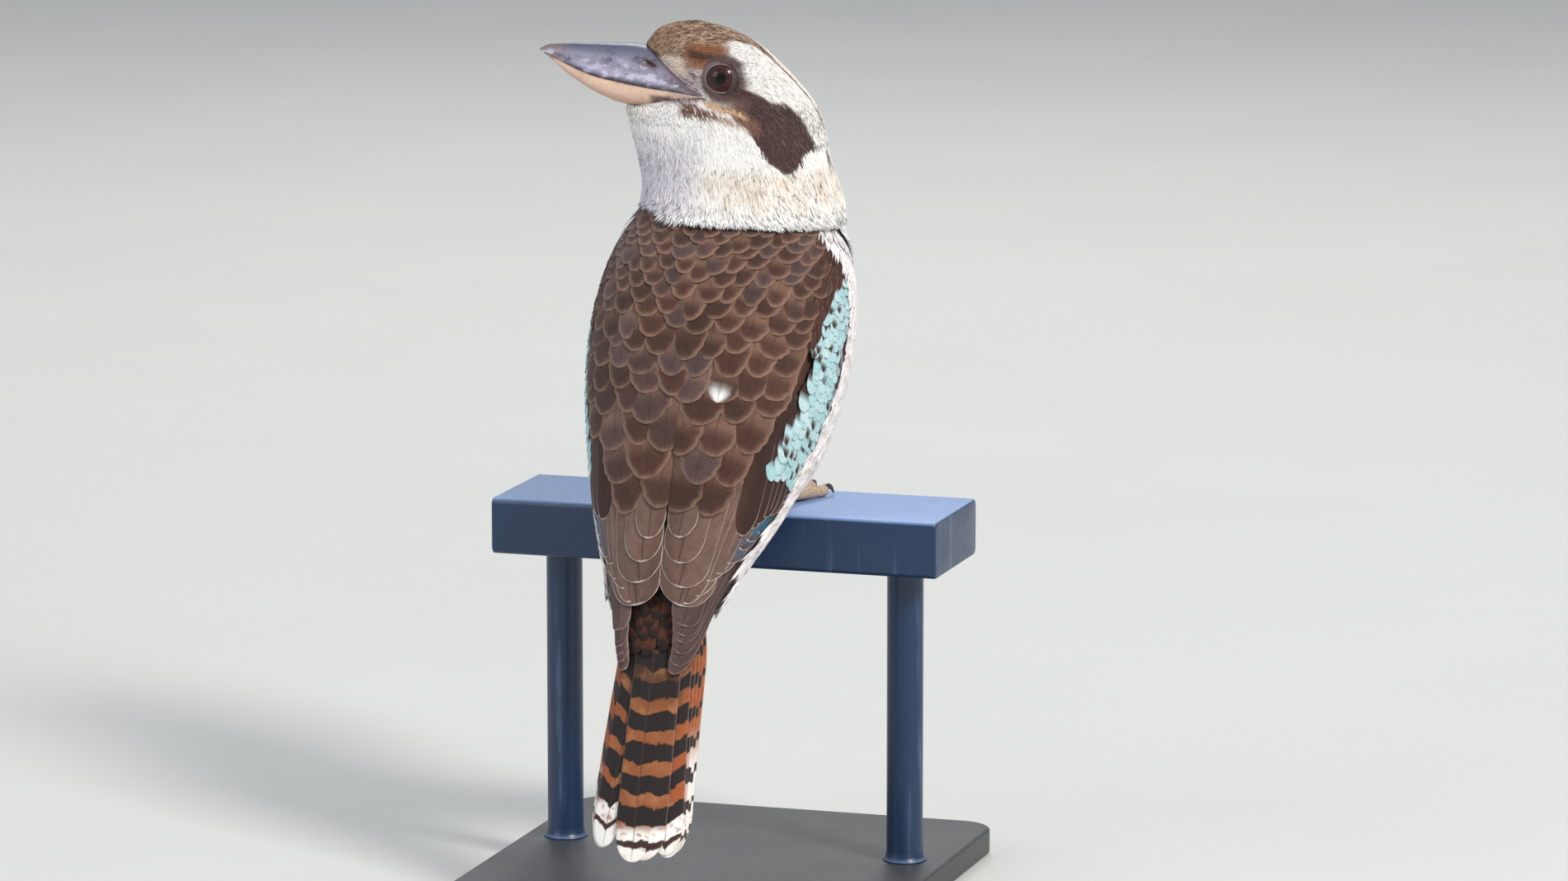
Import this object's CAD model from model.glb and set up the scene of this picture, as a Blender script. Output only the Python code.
"""Looks of a life-size laughing kookaburra, looking back over its left shoulder from a short length of rail.

Every length in this file is in millimetres, in the frame of the solids, and is turned into metres when a mesh
is made. The plumage is solid mesh: tufts on the head, neck and breast, and feathers with vanes on the back,
wings and tail, all over one skin.
"""
import logging
from dataclasses import dataclass, field
from enum import Enum
from typing import Any, Callable, Sequence

import bpy
import numpy as np
from mathutils import Matrix, Vector


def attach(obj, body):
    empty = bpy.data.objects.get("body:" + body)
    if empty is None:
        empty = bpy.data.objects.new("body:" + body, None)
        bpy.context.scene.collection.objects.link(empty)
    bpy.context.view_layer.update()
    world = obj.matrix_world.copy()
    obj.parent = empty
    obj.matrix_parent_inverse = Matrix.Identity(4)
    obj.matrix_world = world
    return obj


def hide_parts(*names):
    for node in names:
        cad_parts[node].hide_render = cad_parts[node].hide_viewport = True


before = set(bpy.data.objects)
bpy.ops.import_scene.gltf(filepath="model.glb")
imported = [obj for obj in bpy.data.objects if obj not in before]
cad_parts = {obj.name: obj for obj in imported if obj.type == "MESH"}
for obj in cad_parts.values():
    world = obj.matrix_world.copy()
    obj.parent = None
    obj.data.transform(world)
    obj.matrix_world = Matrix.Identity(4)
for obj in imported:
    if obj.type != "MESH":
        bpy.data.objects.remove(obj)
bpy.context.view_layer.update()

Array = np.ndarray
Curve = Callable[[Any], Array]
Place = Callable[[Array, Array, Array], Array]
Triple = tuple[float, float, float]
log = logging.getLogger("kookaburra")


def through(*stations: tuple[float, float]) -> Curve:
    """A smooth curve through stations, level beyond both ends.

    Between two stations it is the cubic whose slope at each station is that of the line through its
    neighbours.

    Args:
        stations: pairs of position and value, in order of position.

    Returns:
        A function from positions to values.
    """
    at, value = np.array(stations, float).T
    slope = np.gradient(value, at, edge_order=1)
    slope[1:-1] = (value[2:] - value[:-2]) / (at[2:] - at[:-2])

    def curve(position: Any) -> Array:
        """The curve's values at these positions."""
        p = np.clip(position, at[0], at[-1])
        i = np.clip(np.searchsorted(at, p, side="right") - 1, 0, len(at) - 2)
        span = at[i + 1] - at[i]
        u = (p - at[i]) / span
        bend = slope[i] * u * (1 - u) ** 2 - slope[i + 1] * u * u * (1 - u)
        return value[i] + (value[i + 1] - value[i]) * u * u * (3 - 2 * u) + bend * span

    return curve


def smooth(x: Any, low: float, high: float) -> Array:
    """0 below low, 1 above high, and an S-shaped rise between; low above high makes it fall."""
    t = np.clip((np.asarray(x, float) - low) / (high - low), 0, 1)
    return t * t * (3 - 2 * t)


def band(x: Any, low: float, high: float, soft: float) -> Array:
    """1 between low and high, falling to 0 over soft on each side."""
    return smooth(x, low - soft, low + soft) * smooth(x, high + soft, high - soft)


def power(value: Any, exponent: float) -> Array:
    """A power that keeps its value's sign."""
    return np.sign(value) * np.abs(value) ** exponent


def unit(vectors: Array) -> Array:
    """The vectors at length one."""
    return vectors / np.maximum(np.linalg.norm(vectors, axis=-1, keepdims=True), 1e-9)


def blend(a: Any, b: Any, share: Any) -> Array:
    """Colour a where the share is 0 and colour b where it is 1."""
    share = np.asarray(share, float)[..., None]
    return a * (1 - share) + b * share


def tone(red: int, green: int, blue: int) -> Array:
    """A screen colour of 0 to 255 as light, by the usual 2.4 power law."""
    c = np.array([red, green, blue]) / 255
    return np.where(c < 0.04045, c / 12.92, ((c + 0.055) / 1.055) ** 2.4)


def spread(count: int, shift: float = 0.0) -> tuple[Array, Array]:
    """Evenly scattered pairs in the unit square: the sequence of steps 1/g and 1/g^2, where g^3 = g + 1."""
    n = np.arange(1, count + 1)
    return (shift + n * 0.7548776662466927) % 1, (shift + n * 0.5698402909980532) % 1


def wave_noise(points: Array, scale: float, seed: int = 0) -> Array:
    """Smooth noise from -1 to 1: a sum of sines along eight random directions, at wavelengths near scale."""
    rng = np.random.default_rng(seed)
    total = np.zeros(points.shape[:-1])
    for _ in range(8):
        direction = unit(rng.normal(size=3)) * rng.uniform(0.6, 1.6) * 2 * np.pi / scale
        total += np.sin(points @ direction + rng.uniform(0, 6.28))
    return total / 4


def each(values: Array, axes: int = 2) -> Array:
    """One value for each feather or tuft, with axes after it so that it goes with their grids."""
    return values[(...,) + (None,) * axes]


def turns(count: int) -> Array:
    """Evenly spaced angles once round, from 0."""
    return np.linspace(0, 2 * np.pi, count, endpoint=False)


def pairs(count: int, first: Any, second: Any) -> Array:
    """Two values for each feather, as one array."""
    return np.stack([np.full(count, first), np.full(count, second)], -1)


# The two sides: of the body, -1 is left and 1 is right
SIDES = (("left", -1), ("right", 1))
# The rail's top and the line along its middle, as in the solids
TOP = 170.0
RAIL_Y = 25.0
CENTRE = np.array([0.0, RAIL_Y, TOP])
# Where the trunk's line starts under the collar, and how steeply it falls to the rear
TRUNK_Y = RAIL_Y + 10
TRUNK_Z = TOP + 122
FALL = np.radians(60)
# The way that the turned head faces, and the point on the rail's top that its coordinates start from
HEADING = np.radians(188)
FORWARD = np.array([np.cos(HEADING), np.sin(HEADING), 0.0])
LEFTWARD = np.array([-FORWARD[1], FORWARD[0], 0.0])
UP = np.array([0.0, 0.0, 1.0])
HEAD_FOOT = np.array([-5.0, TRUNK_Y, TOP])
# The power of a section's squared ellipse
ROUND = 0.92
# One turn, as the shaders' waves use it
CYCLE = 6.2832


def trunk_point(x: Any, down: Any, out: Any) -> Array:
    """A point x across, so far down the trunk's falling line, and out from it towards the belly."""
    y = TRUNK_Y - np.cos(FALL) * down + np.sin(FALL) * out
    z = TRUNK_Z - np.sin(FALL) * down - np.cos(FALL) * out
    return np.stack(np.broadcast_arrays(x, y, z), -1)


def leg_line(side: int, t: Array, foot: float, rise: float) -> Array:
    """Points of one leg's middle line, from its foot at share 0 up into the trunk at share 1."""
    x, y = side * (26 - smooth(t, 0.3, 0.8)), RAIL_Y - 11 - 4 * smooth(t, 0.1, 0.9)
    return np.stack([x, y, TOP + foot + rise * t], -1)


def head_point(ahead: Any, left: Any, high: Any) -> Array:
    """A point by the turned head's own axes: ahead, out to its left, and high over the rail's top."""
    ahead, left, high = np.broadcast_arrays(ahead, left, high)
    return HEAD_FOOT + ahead[..., None] * FORWARD + left[..., None] * LEFTWARD + high[..., None] * UP


def head_axes(points: Array) -> tuple[Array, Array, Array]:
    """The turned head's coordinates of points: ahead, left and high."""
    away = points - HEAD_FOOT
    return away @ FORWARD, away @ LEFTWARD, away[..., 2]


@dataclass(frozen=True)
class Trunk:
    """The plumage's outline round the trunk, and a chart of it.

    A section is the squared ellipse |x / half|^(2 / 0.92) + |n / depth|^(2 / 0.92) = 1. The chart gives a
    point by its distance down the line and its distance round from the middle of the back, counted positive
    to the right. Its table has a row for each millimetre down, from first to last, and a column for each
    millimetre round.
    """

    half: Curve = through(
        (-25, 25), (-10, 38), (0, 45), (8, 50), (23, 55.4), (43, 58.4), (66, 58.6), (93, 55.4), (116, 50),
        (139, 43), (166, 32), (184, 25.5), (212, 20))
    back: Curve = through(
        (-25, 14), (-10, 26), (0, 31), (17, 37), (30, 42), (46, 46), (65, 47), (92, 45), (110, 41),
        (120, 36.5), (141, 27), (166, 18.4), (184, 13.6), (212, 8.8))
    belly: Curve = through(
        (-25, 22), (-10, 36), (0, 42), (20, 50), (46, 52), (65, 50), (92, 45), (110, 37.5), (120, 27.5),
        (127, 22), (141, 17), (160, 13), (184, 8), (212, 4))
    lean: Curve = through(
        (100, 0), (116, -0.8), (139, -2.6), (166, -5), (184, -5.4), (212, -5), (240, -4.6), (303, -3))
    wing_edge: Curve = through((8, 70), (25, 96), (60, 101), (95, 99), (120, 92), (150, 84))
    first: int = -25
    last: int = 213
    columns: int = 181
    vent: float = 160.0
    table: dict[str, Array] = field(default_factory=dict)

    def __post_init__(self) -> None:
        """Works out the chart, from half-degree steps round each section."""
        down, turns = self.rows()[:, None], np.linspace(0, np.pi, 361)
        points = self.outline(down, turns[None])
        arcs = np.cumsum(np.linalg.norm(np.diff(points, axis=1, prepend=points[:, :1]), axis=2), axis=1)
        turn = np.stack([np.interp(np.arange(self.columns), arc, turns) for arc in arcs])
        self.table.update(
            turn=turn, point=self.outline(down, turn), normal=self.normal(down, turn), reach=arcs[:, -1])

    def rows(self) -> Array:
        """The chart's distances down."""
        return np.arange(self.first, self.last, dtype=float)

    def girth(self, down: Any) -> Array:
        """Half the way round the outline, from the middle of the back to the middle of the belly."""
        return np.interp(down, self.rows(), self.table["reach"])

    def depth(self, down: Any, out: Any) -> Array:
        """The outline's depth from the line on the side that a point is out to, back or belly."""
        return np.where(out < 0, self.back(down), self.belly(down))

    def outline(self, down: Any, turn: Any, sink: Any = 0.0) -> Array:
        """Points of the outline at turns round from the middle of the back, sunk towards the line."""
        ahead = power(np.cos(turn), ROUND)
        depth = np.where(ahead > 0, self.back(down), self.belly(down)) - sink
        x = self.lean(down) + (self.half(down) - sink) * power(np.sin(turn), ROUND)
        return trunk_point(x, down, -depth * ahead)

    def normal(self, down: Any, turn: Any) -> Array:
        """Outward directions: the outline's step down crossed with its step round."""
        along = self.outline(down + 0.5, turn) - self.outline(down - 0.5, turn)
        around = self.outline(down, turn + 0.03) - self.outline(down, turn - 0.03)
        return unit(np.cross(along, around))

    def look_up(self, name: str, down: Any, arc: Any) -> Array:
        """A table's values between its entries, by the four nearest."""
        values = self.table[name]
        i = np.clip(np.asarray(down, float) - self.first, 0, values.shape[0] - 1.001)
        j = np.clip(np.abs(arc), 0, values.shape[1] - 1.001)
        i0, j0 = i.astype(int), j.astype(int)
        fi, fj = i - i0, j - j0
        if values.ndim == 3:
            fi, fj = fi[..., None], fj[..., None]
        near = values[i0, j0] * (1 - fj) + values[i0, j0 + 1] * fj
        far = values[i0 + 1, j0] * (1 - fj) + values[i0 + 1, j0 + 1] * fj
        return near * (1 - fi) + far * fi

    def at(self, down: Any, arc: Any, lift: Any = 0.0) -> tuple[Array, Array]:
        """Points and normals of the outline at these chart places, lifted along the normals."""
        down, arc, lift = np.broadcast_arrays(np.asarray(down, float), arc, lift)
        point, normal = self.look_up("point", down, arc), self.look_up("normal", down, arc)
        left = arc < 0
        middle = self.lean(down)
        point[..., 0] = np.where(left, 2 * middle - point[..., 0], point[..., 0])
        normal[..., 0] = np.where(left, -normal[..., 0], normal[..., 0])
        return point + unit(normal) * lift[..., None], unit(normal)

    def spot(self, down: Array, arc: Array, lift: Array) -> Array:
        """Points alone at chart places, lifted along the normals."""
        return self.at(down, arc, lift)[0]

    def axes(self, points: Array) -> tuple[Array, Array, Array]:
        """Coordinates of points: x from the line, distance down it, and out towards the belly."""
        y, z = points[..., 1] - TRUNK_Y, points[..., 2] - TRUNK_Z
        down = -np.cos(FALL) * y - np.sin(FALL) * z
        return points[..., 0] - self.lean(down), down, np.sin(FALL) * y - np.cos(FALL) * z

    def size(self, points: Array, margin: Any) -> tuple[Array, Array, Array, Array]:
        """Coordinates of points, and their size: 1 on the outline swollen by a margin, and less inside it."""
        x, down, out = self.axes(points)
        across = np.abs(x) / (self.half(down) + margin)
        deep = np.abs(out) / (self.depth(down, out) + margin)
        return x, down, out, across ** (2 / ROUND) + deep ** (2 / ROUND)

    def holds(self, points: Array, margin: float = 0.0) -> Array:
        """True for points inside the outline swollen by a margin."""
        _, down, _, size = self.size(points, margin)
        return (size < 1) & (down > self.first) & (down < self.vent)

    def drape(self, points: Array, margin: Array) -> Array:
        """Moves points inside the outline swollen by a margin straight out from its line to its surface."""
        x, down, out, size = self.size(points, margin)
        grow = np.clip(size, 0.3, 1) ** (-ROUND / 2)
        grow = np.where((down > self.first + 1) & (down < self.vent), grow, 1)
        return trunk_point(self.lean(down) + x * grow, down, out * grow)


@dataclass(frozen=True)
class Skull:
    """The plumage's outline round the head and neck, as level sections.

    A section reaches front and rear from its middle line, which is at a fixed share of the way from front to
    rear, and side to each side, narrower ahead by its taper.
    """

    front: Curve = through(
        (98, 33), (112, 40), (127, 40), (135, 38.8), (142, 39.1), (151, 41), (159, 43), (166, 44.7),
        (173, 45.6), (179, 42), (186, 39), (192, 38.2), (198.4, 37.3), (203, 34.7), (206.7, 31), (209, 25.5),
        (210, 20))
    rear: Curve = through(
        (98, -46), (112, -50), (125, -51), (132, -50), (140, -47.6), (148, -45), (156, -43.2), (163, -42),
        (170, -39.8), (176, -36.2), (183, -30.4), (190, -23.6), (196, -17.4), (200.6, -11.6), (204.5, -4.6),
        (207, 1.5), (209, 8.5), (210, 15))
    side: Curve = through(
        (98, 27), (108, 35), (118, 39.5), (126, 39.5), (134, 37), (142, 33.5), (150, 30), (163, 26.6),
        (175, 23.6), (180, 21.9), (184, 21.3), (190, 20.8), (196, 18.8), (201, 16.2), (205, 12.8), (208, 8.2),
        (210, 3))
    taper: Curve = through(
        (98, 0), (130, 0.08), (150, 0.28), (168, 0.45), (178, 0.62), (188, 0.58), (194, 0.5), (202, 0.36),
        (210, 0.2))
    middle: float = 0.56
    blunt: float = 0.95
    foot: float = 98.0
    top: float = 210.0
    rows: int = 181

    def outline(self, high: Any, turn: Any, sink: Any = 0.0) -> Array:
        """Points of the outline at heights over the rail and at turns round from straight ahead."""
        high, turn, sink = np.broadcast_arrays(np.asarray(high, float), turn, sink)
        front, rear = self.front(high) - sink, self.rear(high) + sink
        middle, cos = front + (rear - front) * self.middle, np.cos(turn)
        ahead = middle + np.where(cos > 0, front - middle, middle - rear) * power(cos, self.blunt)
        half = np.maximum(self.side(high) - sink, 0.2)
        return head_point(ahead, half * power(np.sin(turn), ROUND) * (1 - self.taper(high) * cos), high)

    def normal(self, high: Any, turn: Any) -> Array:
        """Outward directions: the outline's step round crossed with its step up."""
        around = self.outline(high, turn + 0.03) - self.outline(high, turn - 0.03)
        up = self.outline(np.minimum(high + 0.4, self.top), turn) - self.outline(high - 0.4, turn)
        return unit(np.cross(around, up))

    def holds(self, points: Array, margin: float = 0.0) -> Array:
        """True for points inside the outline swollen by a margin."""
        ahead, left, high = head_axes(points)
        front, rear = self.front(high), self.rear(high)
        middle = front + (rear - front) * self.middle
        reach = np.where(ahead > middle, front - middle, middle - rear) + margin
        cos = np.clip(power((ahead - middle) / reach, 1 / self.blunt), -1, 1)
        side = self.side(high) * (1 - cos * cos) ** (ROUND / 2) * (1 - self.taper(high) * cos) + margin
        level = (high > self.foot) & (high < self.top + margin)
        return (np.abs(left) < side) & (np.abs(cos) < 1) & level

    def scatter(self, count: int, low: float, shift: float) -> tuple[Array, Array]:
        """Heights and turns of roots spread evenly over the outline above a height.

        Args:
            count: how many roots.
            low: the lowest height.
            shift: where the even sequence starts.

        Returns:
            The heights and the turns.
        """
        rows, cells = np.arange(float(self.rows)), 200
        highs = low + (self.top - low) * np.sin(np.linspace(0, np.pi / 2, self.rows))
        turns = np.linspace(-np.pi, np.pi, 361)
        rings = self.outline(highs[:, None], turns[None])
        arcs = np.cumsum(np.linalg.norm(np.diff(rings, axis=1, prepend=rings[:, :1]), axis=2), axis=1)
        rise = np.linalg.norm(np.diff(rings, axis=0, prepend=rings[:1]), axis=2).mean(axis=1)
        share = np.cumsum(arcs[:, -1] * rise)
        p, q = spread(count, shift)
        row = np.interp(p * share[-1], share, rows)
        even = np.linspace(0, 1, cells + 1)
        turn_at = np.stack([np.interp(even * arc[-1], arc, turns) for arc in arcs])
        i = np.minimum(row.astype(int), self.rows - 2)
        j = np.minimum((q * cells).astype(int), cells - 1)
        fi, fj = row - i, q * cells - j
        low_turn = turn_at[i, j] * (1 - fj) + turn_at[i, j + 1] * fj
        high_turn = turn_at[i + 1, j] * (1 - fj) + turn_at[i + 1, j + 1] * fj
        return np.interp(row, rows, highs), low_turn * (1 - fi) + high_turn * fi


TRUNK = Trunk()
SKULL = Skull()
# The height of the mouth's line by the distance ahead
MOUTH = through(
    (8, 178.8), (18, 180), (33, 181.4), (48, 183.6), (60, 186), (71, 190), (82, 194.8), (84.2, 195.6))


class Tone:
    """Colours of the plumage, seen in daylight."""

    white = tone(247, 244, 240)
    shaded = tone(222, 212, 220)
    collar = tone(251, 250, 251)
    lavender = tone(190, 182, 203)
    buff = tone(221, 200, 172)
    cream = tone(230, 210, 194)
    tan = tone(164, 124, 96)
    rufous = tone(158, 92, 48)
    crown = tone(98, 64, 50)
    ear = tone(70, 46, 45)
    line = tone(50, 30, 25)
    back = tone(76, 47, 37)
    back_base = tone(120, 88, 73)
    fringe = tone(156, 122, 104)
    quill = tone(104, 76, 66)
    quill_dark = tone(62, 38, 31)
    edge = tone(226, 212, 204)
    sky = tone(164, 208, 214)
    teal = tone(26, 112, 152)
    rump = tone(34, 20, 16)
    orange = tone(142, 82, 44)


@dataclass(frozen=True)
class Markings:
    """Where the head's and trunk's colours lie, in the bird's own coordinates, alike on both sides."""

    ear_top: Curve = through(
        (-40, 161), (-38, 166), (-36, 170), (-31, 175.4), (-22.5, 179.4), (-11.5, 183), (-6, 184), (6, 181))
    ear_foot: Curve = through(
        (-40, 161), (-36.5, 157.5), (-33, 151), (-29, 148.5), (-25, 151.5), (-19, 158), (-14, 164.5),
        (-8, 170.5), (0, 175.4), (6, 178))
    crown_half: Curve = through(
        (-46, 1), (-38, 1), (-29, 1.2), (-19, 2), (-12, 4), (-8, 6.6), (-4, 10), (-1, 13), (2, 18.5), (6, 26))
    brow_foot: Curve = through((-2, 192.5), (10, 191.5), (18, 194), (28, 194.5), (38, 191))

    def head(self, points: Array, pick: Array) -> Array:
        """Colours of the head and neck.

        Each patch is a soft step in distance from its edge curve, laid over the ones before it.

        Args:
            points: places on the head.
            pick: a random number from 0 to 1 for each place.

        Returns:
            One colour for each place.
        """
        a, left, z = head_axes(points)
        side, near = np.abs(left), wave_noise(points, 9, 3)
        streak = smooth(a, 2, 14) * smooth(z, 170, 158) * smooth(pick, 0.72, 0.95) * smooth(z, 130, 138)
        buff = band(z, 137, 150, 3) * smooth(a, 14, 2)
        fleck = smooth(z, 160, 168) * smooth(a, 0, -12) * smooth(pick, 0.9, 1)
        face = smooth(a, 9, 13) * band(z, 176.5, 190, 1.5) * smooth(side, 6, 9)
        crown = smooth(side - self.crown_half(a) + 1.2 * near, 1, -1) * smooth(z, 158, 166) * smooth(a, 7, 3)
        crown = np.maximum(crown, smooth(z - self.brow_foot(a), -0.5, 1) * smooth(a, -1, 3))
        streaks = blend(Tone.crown, blend(Tone.tan, Tone.buff, 0.4), smooth(pick + 0.12 * near, 0.5, 0.68))
        brow = band(a, -1, 19, 2.5) * band(side, 13.5, 23, 1.8) * band(z, 190, 201, 1.8)
        line = band(a, -8, 17, 2) * band(z - 0.12 * a, 193.2, 196.3, 0.9) * smooth(side, 9, 12)
        nape = smooth(side, 5.5, 3) * band(z, 147, 157, 2) * smooth(a, -38, -41)
        fold = np.hypot(a - 0.3, z - 188)
        under = smooth(fold, 13.5, 9) * smooth(z, 190, 186) * smooth(a, 13, 9)
        ear = smooth(z - self.ear_foot(a) + 0.9 * near, -0.8, 0.8)
        ear = ear * smooth(self.ear_top(a) - z + 0.9 * near, -0.8, 0.8)
        ear = ear * smooth(a, 2, -6) * smooth(side, 7, 10)
        patch = blend(Tone.ear, tone(104, 76, 70), smooth(pick, 0.75, 1))
        foot = np.interp(a, [-14, 0, 7, 14], [172, 172.6, 174.6, 176.5])
        low = 171 + 0.32 * (np.minimum(a, 6) - 1)
        tan = smooth(z, foot + 0.8, foot - 0.4) * smooth(z - low, -1.4, 0.6) * band(a, -16, 20, 2)
        tan = tan * (0.6 + 0.4 * smooth(a, -8, 4)) * smooth(pick, 1.0, 0.6 + 0.2 * (a > 0))
        gape = band(z - (175.6 + 0.19 * a), -1.1, 1.1, 0.6) * band(a, -11, 9, 2)
        patches = (
            (Tone.collar, smooth(z, 136, 131)),
            (Tone.lavender, 0.55 * smooth(a, 4, 20) * smooth(z, 172, 150) * smooth(z, 128, 134)),
            (tone(128, 116, 134), 0.5 * streak),
            (Tone.buff, buff * (0.3 + 0.25 * near)),
            (tone(150, 112, 84), buff * 0.55 * smooth(pick, 0.8, 1)),
            (tone(120, 100, 84), 0.75 * fleck),
            (blend(tone(214, 196, 196), tone(118, 104, 108), smooth(pick, 0.45, 0.75)), face),
            (Tone.cream, smooth(a, 16, 19) * band(z, 187, 195, 1.2)),
            (blend(streaks, Tone.tan, 0.45 * smooth(a, 18, 34)), crown),
            (blend(Tone.rufous, Tone.crown, smooth(pick, 0.6, 0.9)), 0.9 * brow),
            (Tone.line, 0.85 * line),
            (Tone.line, 0.85 * nape * smooth(pick, 0, 0.5)),
            (tone(98, 74, 66), 0.9 * under),
            (tone(92, 70, 66), 0.92 * smooth(fold, 11, 9)),
            (blend(patch, tone(126, 94, 82), 0.75 * smooth(a, -15, -6) * smooth(z, 182, 177)), ear),
            (blend(tone(158, 116, 88), tone(104, 64, 46), smooth(a, 2, 10)), tan),
            (blend(tone(214, 176, 140), tone(120, 80, 60), smooth(pick, 0.8, 1)), gape))
        colour = np.broadcast_to(Tone.white, points.shape)
        for paint, share in patches:
            colour = blend(colour, paint, share)
        return colour

    def trunk(self, points: Array, pick: Array, wing: float = 1.0) -> Array:
        """Colours of the trunk: brown from the back to the folded wings' edges, white with faint bars below.

        Args:
            points: places on the trunk.
            pick: a random number from 0 to 1 for each place.
            wing: how strong the brown is.

        Returns:
            One colour for each place.
        """
        x, down, out = TRUNK.axes(points)
        turn = np.degrees(np.arctan2(np.abs(x) / TRUNK.half(down), -out / TRUNK.depth(down, out)))
        brown = smooth(turn - TRUNK.wing_edge(down), 4, -6) * smooth(down, 172, 160) * wing
        white = blend(Tone.white, Tone.shaded, smooth(pick, 0.3, 0.9))
        bars = smooth(np.sin(down * 0.7 + 0.6 * np.sin(turn * 0.2)), 0.4, 0.9) * smooth(turn, 128, 104)
        white = blend(white, tone(150, 126, 112), 0.4 * bars * smooth(down, 30, 50) * smooth(down, 150, 130))
        brown_tone = blend(Tone.back, Tone.quill_dark, smooth(turn, 52, 70))
        return blend(white, blend(brown_tone, Tone.back_base, 0.5 * pick), brown)


MARKS = Markings()


class Builder:
    """Makes objects from arrays and gives them to the frame."""

    @staticmethod
    def make(name: str, points: Array, faces: Array, colours: dict[str, Array] | None = None,
             numbers: dict[str, Array] | None = None, maps: dict[str, Array] | None = None,
             material: bpy.types.Material | None = None, slot: str = "", replaces: Sequence[str] = ()
             ) -> bpy.types.Object:
        """A mesh object that rides on the body.

        Args:
            name: the piece's name.
            points: its points, in millimetres.
            faces: corners of its faces, all triangles or all four-sided.
            colours: colour attributes, one row for each point.
            numbers: plain attributes, one number for each point.
            maps: UV maps, one pair for each point, or for each corner where there are as many.
            material: its finish.
            slot: the record's slot that it takes its finish from.
            replaces: the solids that it stands for.

        Returns:
            The object.
        """
        points = points.reshape(-1, 3)
        faces = np.ascontiguousarray(faces.reshape(-1, faces.shape[-1]), np.int32)
        mesh = bpy.data.meshes.new(name)
        mesh.vertices.add(len(points))
        mesh.vertices.foreach_set("co", (points / 1000).astype(np.float32).ravel())
        mesh.loops.add(faces.size)
        mesh.loops.foreach_set("vertex_index", faces.ravel())
        mesh.polygons.add(len(faces))
        mesh.polygons.foreach_set("loop_start", np.arange(0, faces.size, faces.shape[1], dtype=np.int32))
        mesh.update(calc_edges=True)
        mesh.polygons.foreach_set("use_smooth", np.ones(len(faces), bool))
        for key, value in (colours or {}).items():
            layer = mesh.color_attributes.new(key, "FLOAT_COLOR", "POINT")
            rgba = np.ones((len(points), 4), np.float32)
            rgba[:, :3] = value.reshape(-1, 3)
            layer.data.foreach_set("color", rgba.ravel())
        for key, value in (numbers or {}).items():
            layer = mesh.attributes.new(key, "FLOAT", "POINT")
            layer.data.foreach_set("value", value.astype(np.float32).ravel())
        for key, value in (maps or {}).items():
            pairs = value.reshape(-1, 2)
            layer = mesh.uv_layers.new(name=key)
            layer.data.foreach_set("uv", pairs[faces.ravel()].astype(np.float32).ravel())
        mesh.validate()
        piece = bpy.data.objects.new(name, mesh)
        bpy.context.scene.collection.objects.link(piece)
        return Builder.give(piece, material, slot, replaces)

    @staticmethod
    def give(piece: bpy.types.Object, material: bpy.types.Material | None, slot: str,
             replaces: Sequence[str] = ()) -> bpy.types.Object:
        """Dresses a piece, makes it ride on the body and says what it stands for."""
        if material is not None:
            piece.data.materials.clear()
            piece.data.materials.append(material)
        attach(piece, "root")
        if replaces:
            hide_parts(*replaces)
        log.info("%s: %d points, %d faces", piece.name, len(piece.data.vertices), len(piece.data.polygons))
        return piece

    @staticmethod
    def tube(rings: int, sides: int) -> Array:
        """Triangles of a tube of rings, each with so many points, with its ends closed on two last points."""
        i, j = np.meshgrid(np.arange(rings - 1), np.arange(sides), indexing="ij")
        k = (j + 1) % sides
        walls = [i * sides + j, i * sides + k, (i + 1) * sides + k, (i + 1) * sides + j]
        walls = np.stack(walls, -1).reshape(-1, 4)
        j = np.arange(sides)
        k, foot, end = (j + 1) % sides, rings * sides, (rings - 1) * sides
        first = np.stack([np.full(sides, foot), k, j], -1)
        last = np.stack([np.full(sides, foot + 1), end + j, end + k], -1)
        return np.concatenate([walls[:, [0, 1, 2]], walls[:, [0, 2, 3]], first, last])

    @staticmethod
    def close(rings: Array) -> Array:
        """The rings' points with the middles of the first and last ring after them."""
        return np.concatenate([rings.reshape(-1, 3), rings[0].mean(0)[None], rings[-1].mean(0)[None]])


class Wire:
    """A shader value that can be used in sums: an operator adds the Math node for it."""

    def __init__(self, shade: "Shade", socket: Any) -> None:
        """Wraps a node's output socket."""
        self.shade, self.socket = shade, socket

    def sum(self, operation: str, *values: Any) -> "Wire":
        """A Math node of that operation on these values."""
        return self.shade.node("ShaderNodeMath", {"operation": operation}, dict(enumerate(values)))

    def __add__(self, other: Any) -> "Wire":
        """self + other"""
        return self.sum("ADD", self, other)

    def __sub__(self, other: Any) -> "Wire":
        """self - other"""
        return self.sum("SUBTRACT", self, other)

    def __rsub__(self, other: Any) -> "Wire":
        """other - self"""
        return self.sum("SUBTRACT", other, self)

    def __mul__(self, other: Any) -> "Wire":
        """self * other"""
        return self.sum("MULTIPLY", self, other)

    __radd__ = __add__
    __rmul__ = __mul__

    def sine(self) -> "Wire":
        """The sine."""
        return self.sum("SINE", self)

    def size(self) -> "Wire":
        """The value without its sign."""
        return self.sum("ABSOLUTE", self)

    def step(self, low: float, high: float) -> "Wire":
        """0 at low and 1 at high, with a soft rise between; low above high makes it fall."""
        if low > high:
            return 1 - self.step(high, low)
        return self.shade.node("ShaderNodeMapRange", {"interpolation_type": "SMOOTHSTEP"},
                               {"Value": self, "From Min": low, "From Max": high})


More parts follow.
